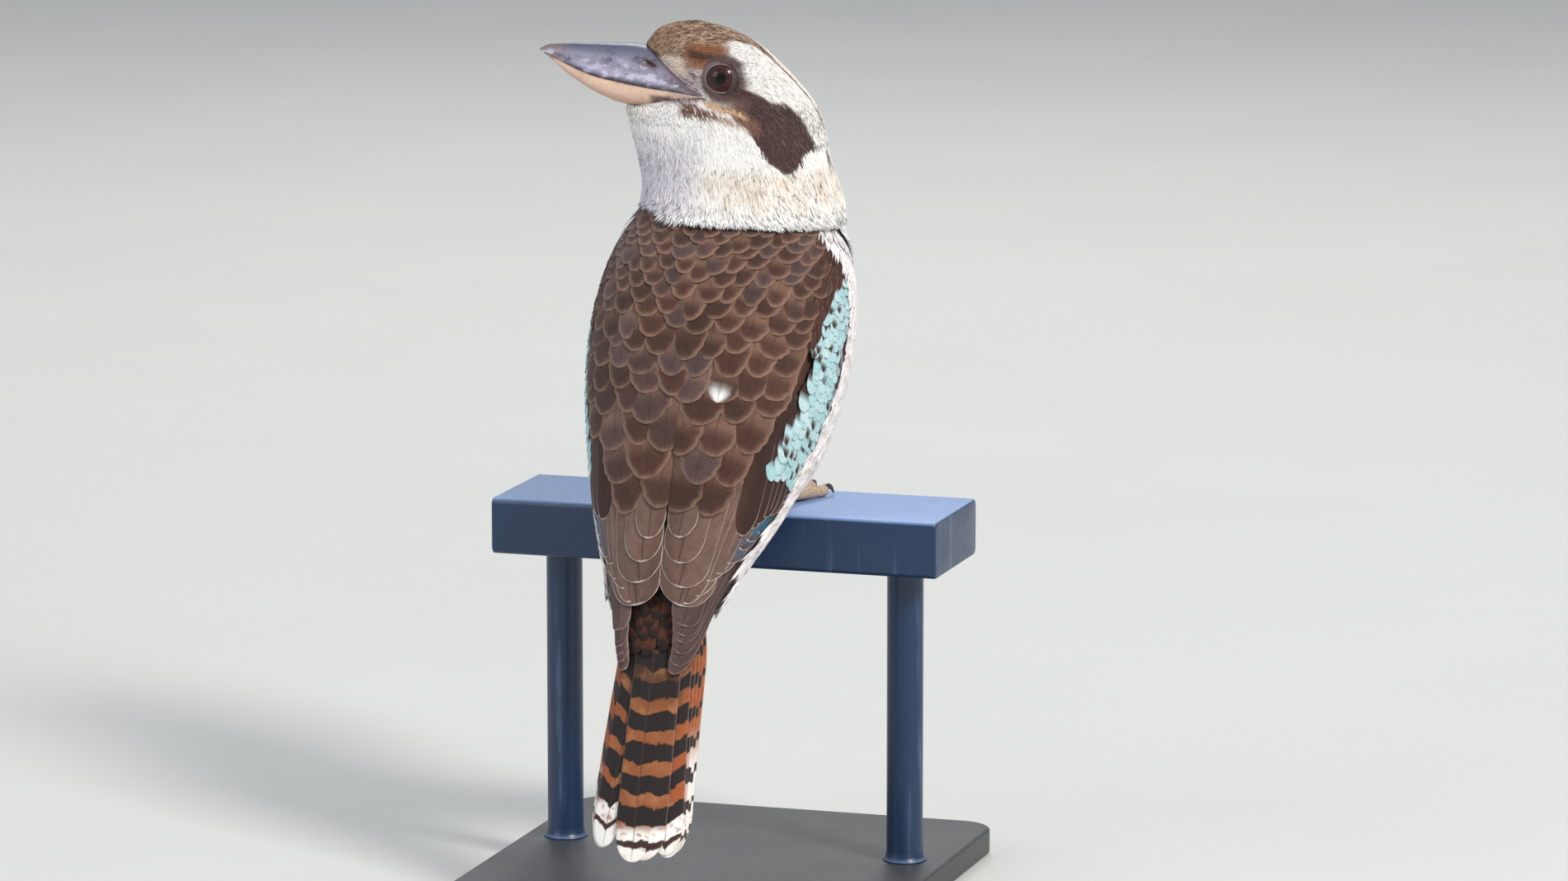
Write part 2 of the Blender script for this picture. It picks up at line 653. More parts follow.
class Shade:
    """A material being made."""

    def __init__(self, name: str) -> None:
        """Starts an empty material."""
        self.material = bpy.data.materials.new(name)
        self.material.use_nodes = True
        self.tree = self.material.node_tree
        self.tree.nodes.clear()

    def node(self, kind: str, settings: dict[str, Any] | None = None, values: dict[Any, Any] | None = None,
             output: Any = 0) -> Wire:
        """Any node.

        Args:
            kind: the node's type.
            settings: its own settings.
            values: values or links of its sockets, by name or number.
            output: the name or number of the output that is given back.

        Returns:
            That output.
        """
        made = self.tree.nodes.new(kind)
        for key, value in (settings or {}).items():
            setattr(made, key, value)
        for key, value in (values or {}).items():
            socket = made.inputs[key]
            if isinstance(value, Wire):
                self.tree.links.new(value.socket, socket)
            elif hasattr(socket.default_value, "__len__") and np.ndim(value):
                socket.default_value = tuple(value) + (1,) * (len(socket.default_value) - len(value))
            else:
                socket.default_value = value
        return Wire(self, made.outputs[output])

    def number(self, name: str) -> Wire:
        """A plain attribute of the piece."""
        return self.node("ShaderNodeAttribute", {"attribute_name": name}, output="Fac")

    def colour(self, name: str) -> Wire:
        """A colour attribute of the piece."""
        return self.node("ShaderNodeAttribute", {"attribute_name": name}, output="Color")

    def split(self, vector: Wire) -> tuple[Wire, Wire, Wire]:
        """The three parts of a vector."""
        parts = self.node("ShaderNodeSeparateXYZ", None, {0: vector}).socket.node
        return tuple(Wire(self, output) for output in parts.outputs)

    def place(self, scale: Sequence[float] = (1, 1, 1)) -> Wire:
        """Object coordinates in millimetres, stretched."""
        coordinates = self.node("ShaderNodeTexCoord", output="Object")
        return self.node("ShaderNodeMapping", {"vector_type": "POINT"},
                         {"Vector": coordinates, "Scale": tuple(1000 * s for s in scale)})

    def map(self, name: str) -> Wire:
        """A UV map of the piece."""
        return self.node("ShaderNodeUVMap", {"uv_map": name})

    def noise(self, vector: Wire, scale: float, detail: float = 3, rough: float = 0.55) -> Wire:
        """Cloudy noise from 0 to 1."""
        return self.node("ShaderNodeTexNoise", None,
                         {"Vector": vector, "Scale": scale, "Detail": detail, "Roughness": rough}, "Fac")

    def mix(self, a: Any, b: Any, share: Any) -> Wire:
        """Two colours mixed by a share."""
        return self.node("ShaderNodeMix", {"data_type": "RGBA"}, {0: share, 6: a, 7: b}, 2)

    def bump(self, height: Wire, distance: float, strength: float) -> Wire:
        """A bump of so many millimetres."""
        return self.node(
            "ShaderNodeBump", None, {"Height": height, "Distance": distance / 1000, "Strength": strength})

    def done(self, values: dict[str, Any]) -> bpy.types.Material:
        """The finished material, with these values on its shader."""
        shader = self.node("ShaderNodeBsdfPrincipled", None, values)
        end = self.tree.nodes.new("ShaderNodeOutputMaterial")
        self.tree.links.new(shader.socket, end.inputs["Surface"])
        return self.material


@dataclass(frozen=True)
class Plumage:
    """The finish of feathers: a colour carried by each point, fine barbs, a shaft and a pale rim.

    Barbs run out from the shaft at a slant: their height is the sine of (share along + slope * share across).
    """

    name: str
    rim: float = 0.0
    soft: float = 0.4
    shaft: float = 0.0
    barbs: float = 40.0
    depth: float = 0.08
    roughness: float = 0.72
    mottle: float = 0.18
    pale: float = 0.9
    streaks: float = 0.22

    def material(self) -> bpy.types.Material:
        """The material."""
        shade = Shade(self.name)
        along, across, _ = shade.split(shade.map("vane"))
        web = (across - 0.5).size() * 2
        slant = shade.noise(shade.place(), 0.35, 2)
        ribs = ((along + web * 0.35) * (self.barbs * 6.283) + slant * 9).sine() * 0.5 + 0.5
        lie = shade.node("ShaderNodeCombineXYZ", None,
                         {0: (along + web * 0.3) * self.barbs, 1: web * 1.2, 2: slant})
        streak = shade.noise(lie, 1.6, 3)
        colour = shade.colour("plumage")
        cloud = shade.noise(shade.place(), 0.22, 4)
        colour = shade.mix(colour, (0, 0, 0), (1 - cloud.step(0.3, 0.62)) * self.mottle)
        colour = shade.mix(colour, (0, 0, 0), (1 - ribs) * 0.1 + (1 - streak.step(0.3, 0.6)) * self.streaks)
        if self.rim:
            ragged = shade.number("edge") + (streak - 0.5) * (self.soft * 2.4)
            edge = 1 - ragged.step(self.rim - self.soft, self.rim + self.soft)
            colour = shade.mix(colour, shade.colour("rim"), edge * self.pale)
        height = ribs
        if self.shaft:
            ridge = 1 - web.step(0.02, 0.07)
            colour = shade.mix(colour, (0.03, 0.018, 0.014), ridge * self.shaft)
            height = ribs + ridge * 2
        return shade.done({
            "Base Color": colour, "Roughness": self.roughness, "Specular IOR Level": 0.25,
            "Sheen Weight": 0.15, "Sheen Roughness": 0.5, "Normal": shade.bump(height, self.depth, 0.6)})


@dataclass(frozen=True)
class Paint:
    """Paint on metal: faint orange peel, dust that settles on what faces up, and small marks."""

    name: str
    colour: tuple[int, int, int]
    dust: tuple[int, int, int]
    settled: float = 0.6
    roughness: float = 0.42

    def material(self) -> bpy.types.Material:
        """The material."""
        shade = Shade(self.name)
        place = shade.place()
        peel = shade.noise(place, 0.9, 2)
        cloud = shade.noise(place, 0.035, 6, 0.65)
        facing = shade.node("ShaderNodeNewGeometry", output="Normal")
        _, _, up = shade.split(facing)
        top = up.step(0.3, 0.95) * self.settled
        colour = shade.mix(tone(*self.colour), tone(*self.dust), top * (0.75 + cloud * 0.5))
        streaks = shade.noise(shade.place((1, 1, 0.08)), 0.16, 4)
        colour = shade.mix(colour, tone(*self.dust), streaks.step(0.56, 0.78) * 0.22)
        specks = shade.noise(place, 0.42, 3)
        colour = shade.mix(colour, tone(60, 58, 66), specks.step(0.7, 0.78) * 0.5)
        return shade.done({
            "Base Color": colour, "Roughness": self.roughness + top * 0.25 + (cloud - 0.5) * 0.2,
            "Coat Weight": 0.25, "Coat Roughness": 0.25, "Normal": shade.bump(peel, 0.05, 0.5)})


class Shape(Enum):
    """How a feather's half-width goes along it: where it is full, where it rounds off, and how bluntly."""

    ROUNDED = (0.35, 0.5, 2.3, 0.52)
    LONG = (0.28, 0.78, 2.2, 0.55)
    QUILL = (0.28, 0.85, 2.4, 0.5)
    LANCE = (0.3, 0.35, 1.5, 0.8)

    def width(self, u: Array) -> Array:
        """The share of the full half-width: a soft rise, then (1 - t^blunt)^fall past the rounding."""
        full, turn, blunt, fall = self.value
        rise = 0.5 + 0.5 * smooth(u, 0, full)
        return rise * np.maximum(1 - np.clip((u - turn) / (1 - turn), 0, 1) ** blunt, 0) ** fall


@dataclass
class Feathers:
    """Feathers as closed thin plates, laid on a chart.

    A feather's point at share u along and v across is at root + (tip - root) u + across * half * width(u) * v
    on the chart, at height lerp(lift) + tuck * v - camber * v^2. The edge nearer the middle of the back is
    tucked in, and no feather passes the seam to the other side. The distance to the edge is counted slim
    times in width, so that a long feather's rim is finer along its sides than at its end. Over is -1 for
    feathers that are seen from below.
    """

    place: Place
    root: Array
    tip: Array
    half: Array
    lift: Array
    side: Array
    shape: Shape = Shape.ROUNDED
    rows: int = 12
    columns: int = 8
    thickness: float = 0.22
    tuck: float = 0.7
    camber: float = 0.35
    seam: Curve = lambda down: 0.03 + 0 * down
    slim: float = 1.0
    over: int = 1

    def grid(self) -> None:
        """Works out the points, the shares along and across, and the distance to the nearest edge."""
        u = np.sin(np.linspace(0, 1, self.rows + 1) * np.pi / 2)[None, :, None]
        v = np.sin(np.linspace(-1, 1, self.columns + 1) * 1.2)[None, None, :] / np.sin(1.2)
        step = self.tip - self.root
        length = np.linalg.norm(step, axis=1)
        wave = np.sin(u * 40 + each(np.arange(len(length))) * 2.1) * smooth(u, 0.3, 0.7)
        ragged = 1 + (0.05 if self.shape is Shape.ROUNDED else 0.012) * wave
        width = self.shape.width(u) * each(self.half) * ragged
        ways = (step / length[:, None])[:, None, None]
        off = width * v
        spot = [self.root[:, None, None, k] + step[:, None, None, k] * u for k in (0, 1)]
        down = spot[0] - ways[..., 1] * off
        around = spot[1] + ways[..., 0] * off
        rise = self.lift[:, 0, None, None] * (1 - u ** 0.8) + self.lift[:, 1, None, None] * u ** 0.8
        height = rise + self.tuck * np.minimum(0.15 + 2 * u, 1) * v - self.camber * v * v
        down, around, height = np.broadcast_arrays(down, around, height)
        around = each(self.side) * np.maximum(around, self.seam(down))
        top, foot = self.place(down, around, height), self.place(down, around, height - self.thickness)
        self.points = np.stack([top, foot], 1)
        self.u = np.broadcast_to(u, down.shape)
        self.v = np.broadcast_to(v, down.shape)
        self.down, self.around = down, np.abs(around)
        self.edge = np.minimum(
            (1 - np.abs(self.v)) * width * self.slim, (1 - self.u) * each(length) * 1.15)

    def faces(self) -> Array:
        """Four-sided faces of every plate: above, below and round the rim, all turned to face out."""
        r, c = self.rows + 1, self.columns + 1
        i, j = np.meshgrid(np.arange(r - 1), np.arange(c - 1), indexing="ij")
        above = np.stack([i * c + j, i * c + j + 1, (i + 1) * c + j + 1, (i + 1) * c + j], -1).reshape(-1, 4)
        below = above[:, ::-1] + r * c
        i, j = np.arange(r - 1), np.arange(c - 1)
        low = np.stack([i * c, (i + 1) * c, r * c + (i + 1) * c, r * c + i * c], -1)
        high = low[:, ::-1] + c - 1
        start = np.stack([j, r * c + j, r * c + j + 1, j + 1], -1)
        end = start[:, ::-1] + (r - 1) * c
        plate = np.concatenate([above, below, low, high, start, end])
        flip = np.where(each(self.side * self.over) < 0, plate[None, :, ::-1], plate[None])
        return (flip + each(np.arange(len(self.side)) * 2 * r * c)).reshape(-1, 4)

    def make(self, name: str, colour: Array, rim: Array, material: bpy.types.Material, slot: str,
             replaces: Sequence[str] = (), numbers: dict[str, Array] | None = None) -> bpy.types.Object:
        """The object, with each feather as an island of its own on the OFBake map."""
        both = lambda values: np.broadcast_to(values[:, None], (len(values), 2, *values.shape[1:]))
        count = len(self.side)
        across = int(np.ceil(np.sqrt(count)))
        cell = np.stack([np.arange(count) % across, np.arange(count) // across], -1)[:, None, None]
        vane = np.stack([self.u, self.v * 0.5 + 0.5], -1)
        island = (cell + 0.04 + 0.92 * vane) / across
        rim = np.broadcast_to(rim, colour.shape)
        extra = {key: both(value) for key, value in (numbers or {}).items()}
        return Builder.make(
            name, self.points, self.faces(), {"plumage": both(colour), "rim": both(rim)},
            {"edge": both(self.edge), **extra}, {"vane": both(vane), "OFBake": both(island)},
            material, slot, replaces)


@dataclass
class Tufts:
    """Tufts of loose plumage: closed three-sided spindles that lie along the body and bend with it.

    A point at share u is at root + lie * s + normal * (lift * s - bend * s^2 / 2), where s is length * u. The
    spindle reaches half to each side and a share of that high. Where a margin is given, the tuft is draped
    over the trunk swollen by it.
    """

    root: Array
    normal: Array
    lie: Array
    length: Array
    half: Array
    lift: Array
    bend: Array
    chart: Array
    sink: float = 0.5
    high: float = 0.45
    margin: Array | None = None

    def make(self, name: str, colour: Array, tip: Array, material: bpy.types.Material, slot: str,
             replaces: Sequence[str] = ()) -> bpy.types.Object:
        """The object: twelve triangles a tuft, with a patch 0.003 across at its root's place on OFBake."""
        lie = unit(self.lie - (self.lie * self.normal).sum(1)[:, None] * self.normal)
        side = np.cross(self.normal, lie)
        count = len(lie)
        u = np.array([0, 0.35, 0.35, 0.35, 0.72, 0.72, 0.72, 1.0])
        v = np.array([0, -1, 1, 0, -0.8, 0.8, 0, 0])
        h = np.array([0, 0, 0, 1, 0, 0, 0.75, 0])
        reach = self.length[:, None] * u
        rise = self.lift[:, None] * reach - self.bend[:, None] * reach ** 2 / 2 - self.sink
        points = self.root[:, None] + lie[:, None] * reach[..., None] + self.normal[:, None] * rise[..., None]
        if self.margin is not None:
            points = TRUNK.drape(points, self.margin[:, None] * (0.3 + 0.7 * u))
        points = (points + self.normal[:, None] * (self.half[:, None] * h * self.high)[..., None]
                  + side[:, None] * (self.half[:, None] * v)[..., None])
        corners = np.array([[0, 3, 1], [0, 2, 3], [0, 1, 2], [1, 3, 6], [1, 6, 4], [3, 2, 5], [3, 5, 6],
                            [2, 1, 4], [2, 4, 5], [4, 6, 7], [6, 5, 7], [5, 4, 7]])[:, ::-1]
        faces = corners[None] + each(np.arange(count) * 8)
        shades = colour[:, None] * (1 - u[:, None] ** 2) + tip[:, None] * u[:, None] ** 2
        shades = shades * (0.86 + 0.14 * smooth(u, 0, 0.5))[:, None]
        vane = np.broadcast_to(np.stack([u, v * 0.5 + 0.5], -1), (count, 8, 2))
        patch = 0.003 + 0.994 * self.chart[:, None] * 0.996 + (vane - 0.5) * 0.003
        return Builder.make(name, points, faces, {"plumage": shades, "rim": shades}, None,
                            {"vane": vane, "OFBake": patch}, material, slot, replaces)


@dataclass
class Skin:
    """One closed skin for the head, neck, trunk and legs, inside their solids by the coat's depth."""

    depth_head: float = 1.5
    depth_belly: float = 2.5
    depth_wing: float = 4.6
    voxel: float = 1.7

    def lofts(self) -> list[tuple[Array, Array]]:
        """Closed tubes of the trunk, the skull and the two legs."""
        down = np.linspace(-24, 168, 90)[:, None]
        turn = turns(96)[None]
        from_back = np.degrees(np.abs(np.arctan2(np.sin(turn), np.cos(turn))))
        wing = smooth(from_back - TRUNK.wing_edge(down), 14, 0) * smooth(down, 4, 18)
        sink = self.depth_belly + (self.depth_wing - self.depth_belly) * wing
        trunk = TRUNK.outline(down, turn, sink)
        high = 99 + 109.2 * np.sin(np.linspace(0, np.pi / 2, 80))[:, None]
        skull = SKULL.outline(high, turn, self.depth_head)
        lofts = [trunk[:, ::-1], skull]
        for side in (-1, 1):
            t = np.linspace(0, 1, 24)[:, None]
            radius = through((0, 2.3), (0.2, 3), (0.5, 7), (1, 12))(t)
            ring = np.stack([np.cos(turn), np.sin(turn), 0 * turn], -1)
            lofts.append(leg_line(side, t, 10.6, 36) + radius[..., None] * ring)
        return [(Builder.close(rings), Builder.tube(*rings.shape[:2])) for rings in lofts]

    def build(self, material: bpy.types.Material) -> bpy.types.Object:
        """Joins the tubes into one closed surface and colours it as the coat above it."""
        points, faces, start = [], [], 0
        for tube_points, tube_faces in self.lofts():
            points.append(tube_points)
            faces.append(tube_faces + start)
            start += len(tube_points)
        mesh = bpy.data.meshes.new("skin_form")
        mesh.from_pydata((np.concatenate(points) / 1000).tolist(), [], np.concatenate(faces).tolist())
        rough = bpy.data.objects.new("skin_form", mesh)
        bpy.context.scene.collection.objects.link(rough)
        remesh = rough.modifiers.new("one_skin", "REMESH")
        remesh.mode, remesh.voxel_size = "VOXEL", self.voxel / 1000
        ease = rough.modifiers.new("ease", "SMOOTH")
        ease.factor, ease.iterations = 0.5, 4
        whole = bpy.data.meshes.new_from_object(rough.evaluated_get(bpy.context.evaluated_depsgraph_get()))
        co = np.empty(len(whole.vertices) * 3, np.float32)
        whole.vertices.foreach_get("co", co)
        co = co.reshape(-1, 3).astype(float) * 1000
        corners = np.empty(len(whole.loops), np.int32)
        whole.loops.foreach_get("vertex_index", corners)
        bpy.data.objects.remove(rough)
        head = SKULL.holds(co, 1.0) & (head_axes(co)[2] > 120)
        on_head, on_trunk = MARKS.head(co, np.full(len(co), 0.5)), MARKS.trunk(co, np.full(len(co), 0.4))
        colour = np.where(head[:, None], on_head, on_trunk)
        return Builder.make(
            "skin", co, corners.reshape(-1, 4), {"plumage": colour * 0.92, "rim": colour}, None,
            {"vane": np.stack([co[:, 2] / 400, co[:, 0] / 200 + 0.5], -1)}, material, "white_plumage",
            ("torso", "neck", "head", "leg_left", "leg_right"))


@dataclass
class HeadCoat:
    """Tufts of the head and neck, smallest round the bill and eyes, longest at the collar."""

    count: int = 88000
    low: float = 100.0
    seed: int = 21

    def roots(self) -> tuple[Array, ...]:
        """Roots and their coordinates, without those under the bill, over the eyes or inside the trunk."""
        high, turn = SKULL.scatter(self.count, self.low, 0.31)
        root, normal = SKULL.outline(high, turn), SKULL.normal(high, turn)
        a, left, z = head_axes(root)
        bill = (a > 8) & (np.abs(left) < 21) & (np.abs(z - MOUTH(a)) < 0.8 + 0.05 * np.maximum(a - 8, 0))
        eye = (np.hypot(a - EYES.ahead, (z - EYES.high) * 1.08) < 7.6) & (np.abs(left) > 8)
        hidden = bill | BILL.holds(root) | eye | TRUNK.holds(root, -1.5)
        rng = np.random.default_rng(self.seed)
        pick, _ = rng.random((2, len(a)))
        top = head_point(17.3, 0.0, SKULL.top)
        root = top + (root - top) * np.where(z > 209.2, pick ** 0.5, 1)[:, None]
        keep = (pick < np.where(z > 155, 1.0, 0.46)) & ~hidden
        return root[keep], normal[keep], a[keep], left[keep], z[keep], turn[keep], rng.random(keep.sum())

    def flow(self, root: Array, rng: np.random.Generator) -> tuple[Array, Array]:
        """Which way the tufts lie.

        The lie is the direction away from the bill's root, mixed with straight down as the height falls, and
        turned aside near an eye.

        Args:
            root: where the tufts grow.
            rng: gives each lie a small difference.

        Returns:
            The lies, and how near each root is to an eye, from 0 to 1.
        """
        a, left, z = head_axes(root)
        away = unit(root - head_point(42.0, 0.0, 186.0))
        lie = away - UP * (smooth(z, 196, 150) * 1.6 + 0.1)[:, None]
        out = root - head_point(EYES.ahead, np.sign(left) * EYES.beside, EYES.high)
        gap = np.linalg.norm(out, axis=1)
        ring = (np.hypot(a - EYES.ahead, z - EYES.high) - 7.5) / 4
        beside = np.exp(-ring ** 2) * (np.abs(left) > 8)
        inward = np.minimum((lie * out).sum(1) / np.maximum(gap, 1) ** 2, 0)
        lie = unit(lie - out * (inward * np.minimum(1.4 * beside, 1.0))[:, None])
        return lie + 0.13 * rng.normal(size=lie.shape), beside

    def build(self, material: bpy.types.Material) -> None:
        """Lays the tufts. Behind, they end at the collar's rim, and in front they run on over the breast."""
        root, normal, a, left, z, turn, pick = self.roots()
        rng = np.random.default_rng(self.seed + 1)
        lie, beside = self.flow(root, rng)
        face = smooth(a, 8, 30) * smooth(z, 160, 176)
        length = 4.0 + 3.5 * smooth(z, 186, 150) + 4.0 * smooth(z, 150, 130)
        length = (length * (1 - 0.4 * face) - 1.4 * beside) * rng.uniform(0.7, 1.3, len(a))
        rim = (z - 125.3 - 7 * smooth(a, 14, 34)) * 1.1 + 1.6 + 1.6 * wave_noise(root, 5, 8)
        rim = rim + 1.4 * rng.random(len(a))
        x, _, out = TRUNK.axes(root)
        mantle = out < 4 - 10 * smooth(x, 36, 46) - 13 * smooth(-x, 30, 42)
        most = (5.5 + 5 * smooth(z, 130, 142)) * (0.6 + 0.7 * pick)
        length = np.where(mantle, np.minimum(length, np.maximum(rim, 0.01)), np.minimum(length, most))
        half = (0.30 + 0.34 * smooth(z, 190, 130)) * (1 - 0.25 * face) * rng.uniform(0.7, 1.3, len(a))
        lift = 0.05 + 0.07 * smooth(z, 150, 128) * smooth(z, 112, 120) + 0.06 * rng.random(len(a)) ** 2
        bend = 0.02 + 0.018 * smooth(z, 160, 190) - 0.02 * band(z, 118, 126, 8)
        bend = np.where(mantle, bend, np.maximum(bend, 0.035 * smooth(z, 148, 140)))
        colour = MARKS.head(root, pick)
        breast = smooth(out, 0, 8) * smooth(z, 134, 128)
        colour = blend(colour, blend(Tone.white, Tone.shaded, smooth(pick, 0.3, 0.9)), breast)
        tip = blend(colour, MARKS.head(root + lie * 1.0, np.clip(pick + 0.2, 0, 1)), 0.5)
        shade = (0.9 + 0.2 * rng.random(len(a)))[:, None]
        chart = np.stack([turn / (2 * np.pi) + 0.5, (z - SKULL.foot) / (SKULL.top - SKULL.foot)], -1)
        stays = ~mantle | (rim > 1.8) | (z > 140)
        for name, mine in (("left", left > 0), ("right", left <= 0)):
            for part, zone in (("crown", z > 181), ("head", (z > 155) & (z <= 181)), ("neck", z <= 155)):
                m = mine & zone & stays
                margin = rng.uniform(0.5, 2.2, m.sum()) if part == "neck" else None
                tufts = Tufts(
                    root[m], normal[m], lie[m], length[m], half[m], lift[m], bend[m], chart[m], margin=margin)
                tufts.make(f"coat_{part}_{name}", (colour * shade)[m], np.minimum(tip * shade, 1)[m],
                           material, "white_plumage")


@dataclass
class BodyCoat:
    """Tufts of the breast, belly and flanks, and of the feathered legs."""

    count: int = 52000
    leg_count: int = 1500
    seed: int = 33

    def build(self, material: bpy.types.Material) -> None:
        """Lays white tufts from the folded wings' edges round the breast, longer lower down.

        A tuft lies along a line down the trunk that keeps its share of the girth, turned a little inwards.
        """
        rng = np.random.default_rng(self.seed)
        p, q = spread(self.count, 0.17)
        down = -22 + 194 * p
        reach = TRUNK.girth(down)
        arc = (2 * q - 1) * reach
        keep = rng.random(self.count) < reach / 170
        turn = np.degrees(TRUNK.look_up("turn", down, arc))
        over = np.where(arc < 0, 10, 30) * smooth(down, 8, 0) - np.where(arc < 0, 6, 0) * smooth(down, 50, 30)
        covered = turn < TRUNK.wing_edge(down) - 3 - 8 * smooth(down, 125, 95) - over
        root, normal = TRUNK.at(down, arc)
        keep &= ~(covered & (down < TRUNK.vent)) & ~SKULL.holds(root, 0.5) & ~((turn < 95) & (down > 158))
        root, normal, down, arc, turn = (x[keep] for x in (root, normal, down, arc, turn))
        share = arc / TRUNK.girth(down)
        after, before = (TRUNK.at(down + s, share * TRUNK.girth(down + s))[0] for s in (4, -4))
        outward = unit(TRUNK.at(down, arc + np.sign(arc) * 2)[0] - root)
        lie = unit(after - before) - outward * 0.12 * smooth(turn, 165, 120)[:, None]
        lie = lie + 0.12 * rng.normal(size=root.shape)
        length = (8 + 4 * smooth(down, 10, 90)) * rng.uniform(0.8, 1.25, len(down))
        half = (0.75 + 0.4 * smooth(down, 10, 80)) * rng.uniform(0.7, 1.3, len(down))
        pick = rng.random(len(down))
        colour = MARKS.trunk(root, pick, 0) * (0.93 + 0.14 * rng.random((len(down), 1)))
        chart = np.stack([arc / 360 + 0.5, (down + 25) / 240], -1)
        lift, bend = np.full(len(down), 0.07), np.full(len(down), 0.015)
        for name, m in (("left", arc < 0), ("right", arc >= 0)):
            tufts = Tufts(root[m], normal[m], lie[m], length[m], half[m], lift[m], bend[m], chart[m], 1.3)
            tufts.make(f"coat_breast_{name}", colour[m], np.minimum(colour * 1.06, 1)[m], material,
                       "white_plumage")
        for name, side in SIDES:
            self.leg(name, side, material)

    def leg(self, name: str, side: int, material: bpy.types.Material) -> None:
        """Short tufts that hang round one leg down to the foot."""
        rng = np.random.default_rng(self.seed + side)
        p, q = spread(self.leg_count, 0.4)
        t, turn = p ** 0.8, q * 2 * np.pi
        radius = through((0, 2.9), (0.2, 4), (0.5, 8), (1, 12.6))(t)
        out = np.stack([np.cos(turn), np.sin(turn), 0 * turn], -1)
        root = leg_line(side, t, 11.5, 34) + out * radius[:, None]
        lie = -UP + 0.14 * rng.normal(size=root.shape)
        m = ~TRUNK.holds(root, 1.0)
        length = (2.6 + 4 * t) * rng.uniform(0.8, 1.2, len(t))
        colour = np.broadcast_to(Tone.white, root.shape) * (0.86 + 0.14 * rng.random((len(t), 1)))
        lift, bend, chart = np.full(m.sum(), 0.08), np.full(m.sum(), 0.01), np.stack([q, t], -1)
        tufts = Tufts(root[m], out[m], lie[m], length[m], (0.5 + 0.5 * t)[m], lift, bend, chart[m], 0.6)
        tufts.make(f"coat_leg_{name}", colour[m], colour[m], material, "white_plumage")


@dataclass(frozen=True)
class Row:
    """A row of feathers on the folded wing, from the one nearest the back to the farthest out."""

    name: str
    count: int
    root: tuple[tuple[float, float], tuple[float, float]]
    tip: tuple[tuple[float, float], tuple[float, float]]
    half: tuple[float, float]
    lift: tuple[float, float]
    shape: Shape
    sink: float = 0.0
    tuck: float = 0.7

    def lay(self, side: int, rng: np.random.Generator, spread_tip: float = 0.0) -> Feathers:
        """The row's feathers on one wing, with small differences between them."""
        t = np.linspace(0, 1, self.count)[:, None]
        root = np.array(self.root[0]) * (1 - t) + np.array(self.root[1]) * t
        tip = np.array(self.tip[0]) * (1 - t) + np.array(self.tip[1]) * t
        tip = tip + rng.normal(size=tip.shape) * [0.9, 0.35] + [0, spread_tip]
        half = self.half[0] + (self.half[1] - self.half[0]) * t[:, 0]
        lift = pairs(self.count, self.lift[0], self.lift[1] - self.sink * np.arange(self.count))
        return Feathers(TRUNK.spot, root, tip, half, lift, np.full(self.count, side), self.shape, 22, 8,
                        tuck=self.tuck, slim=2.4)


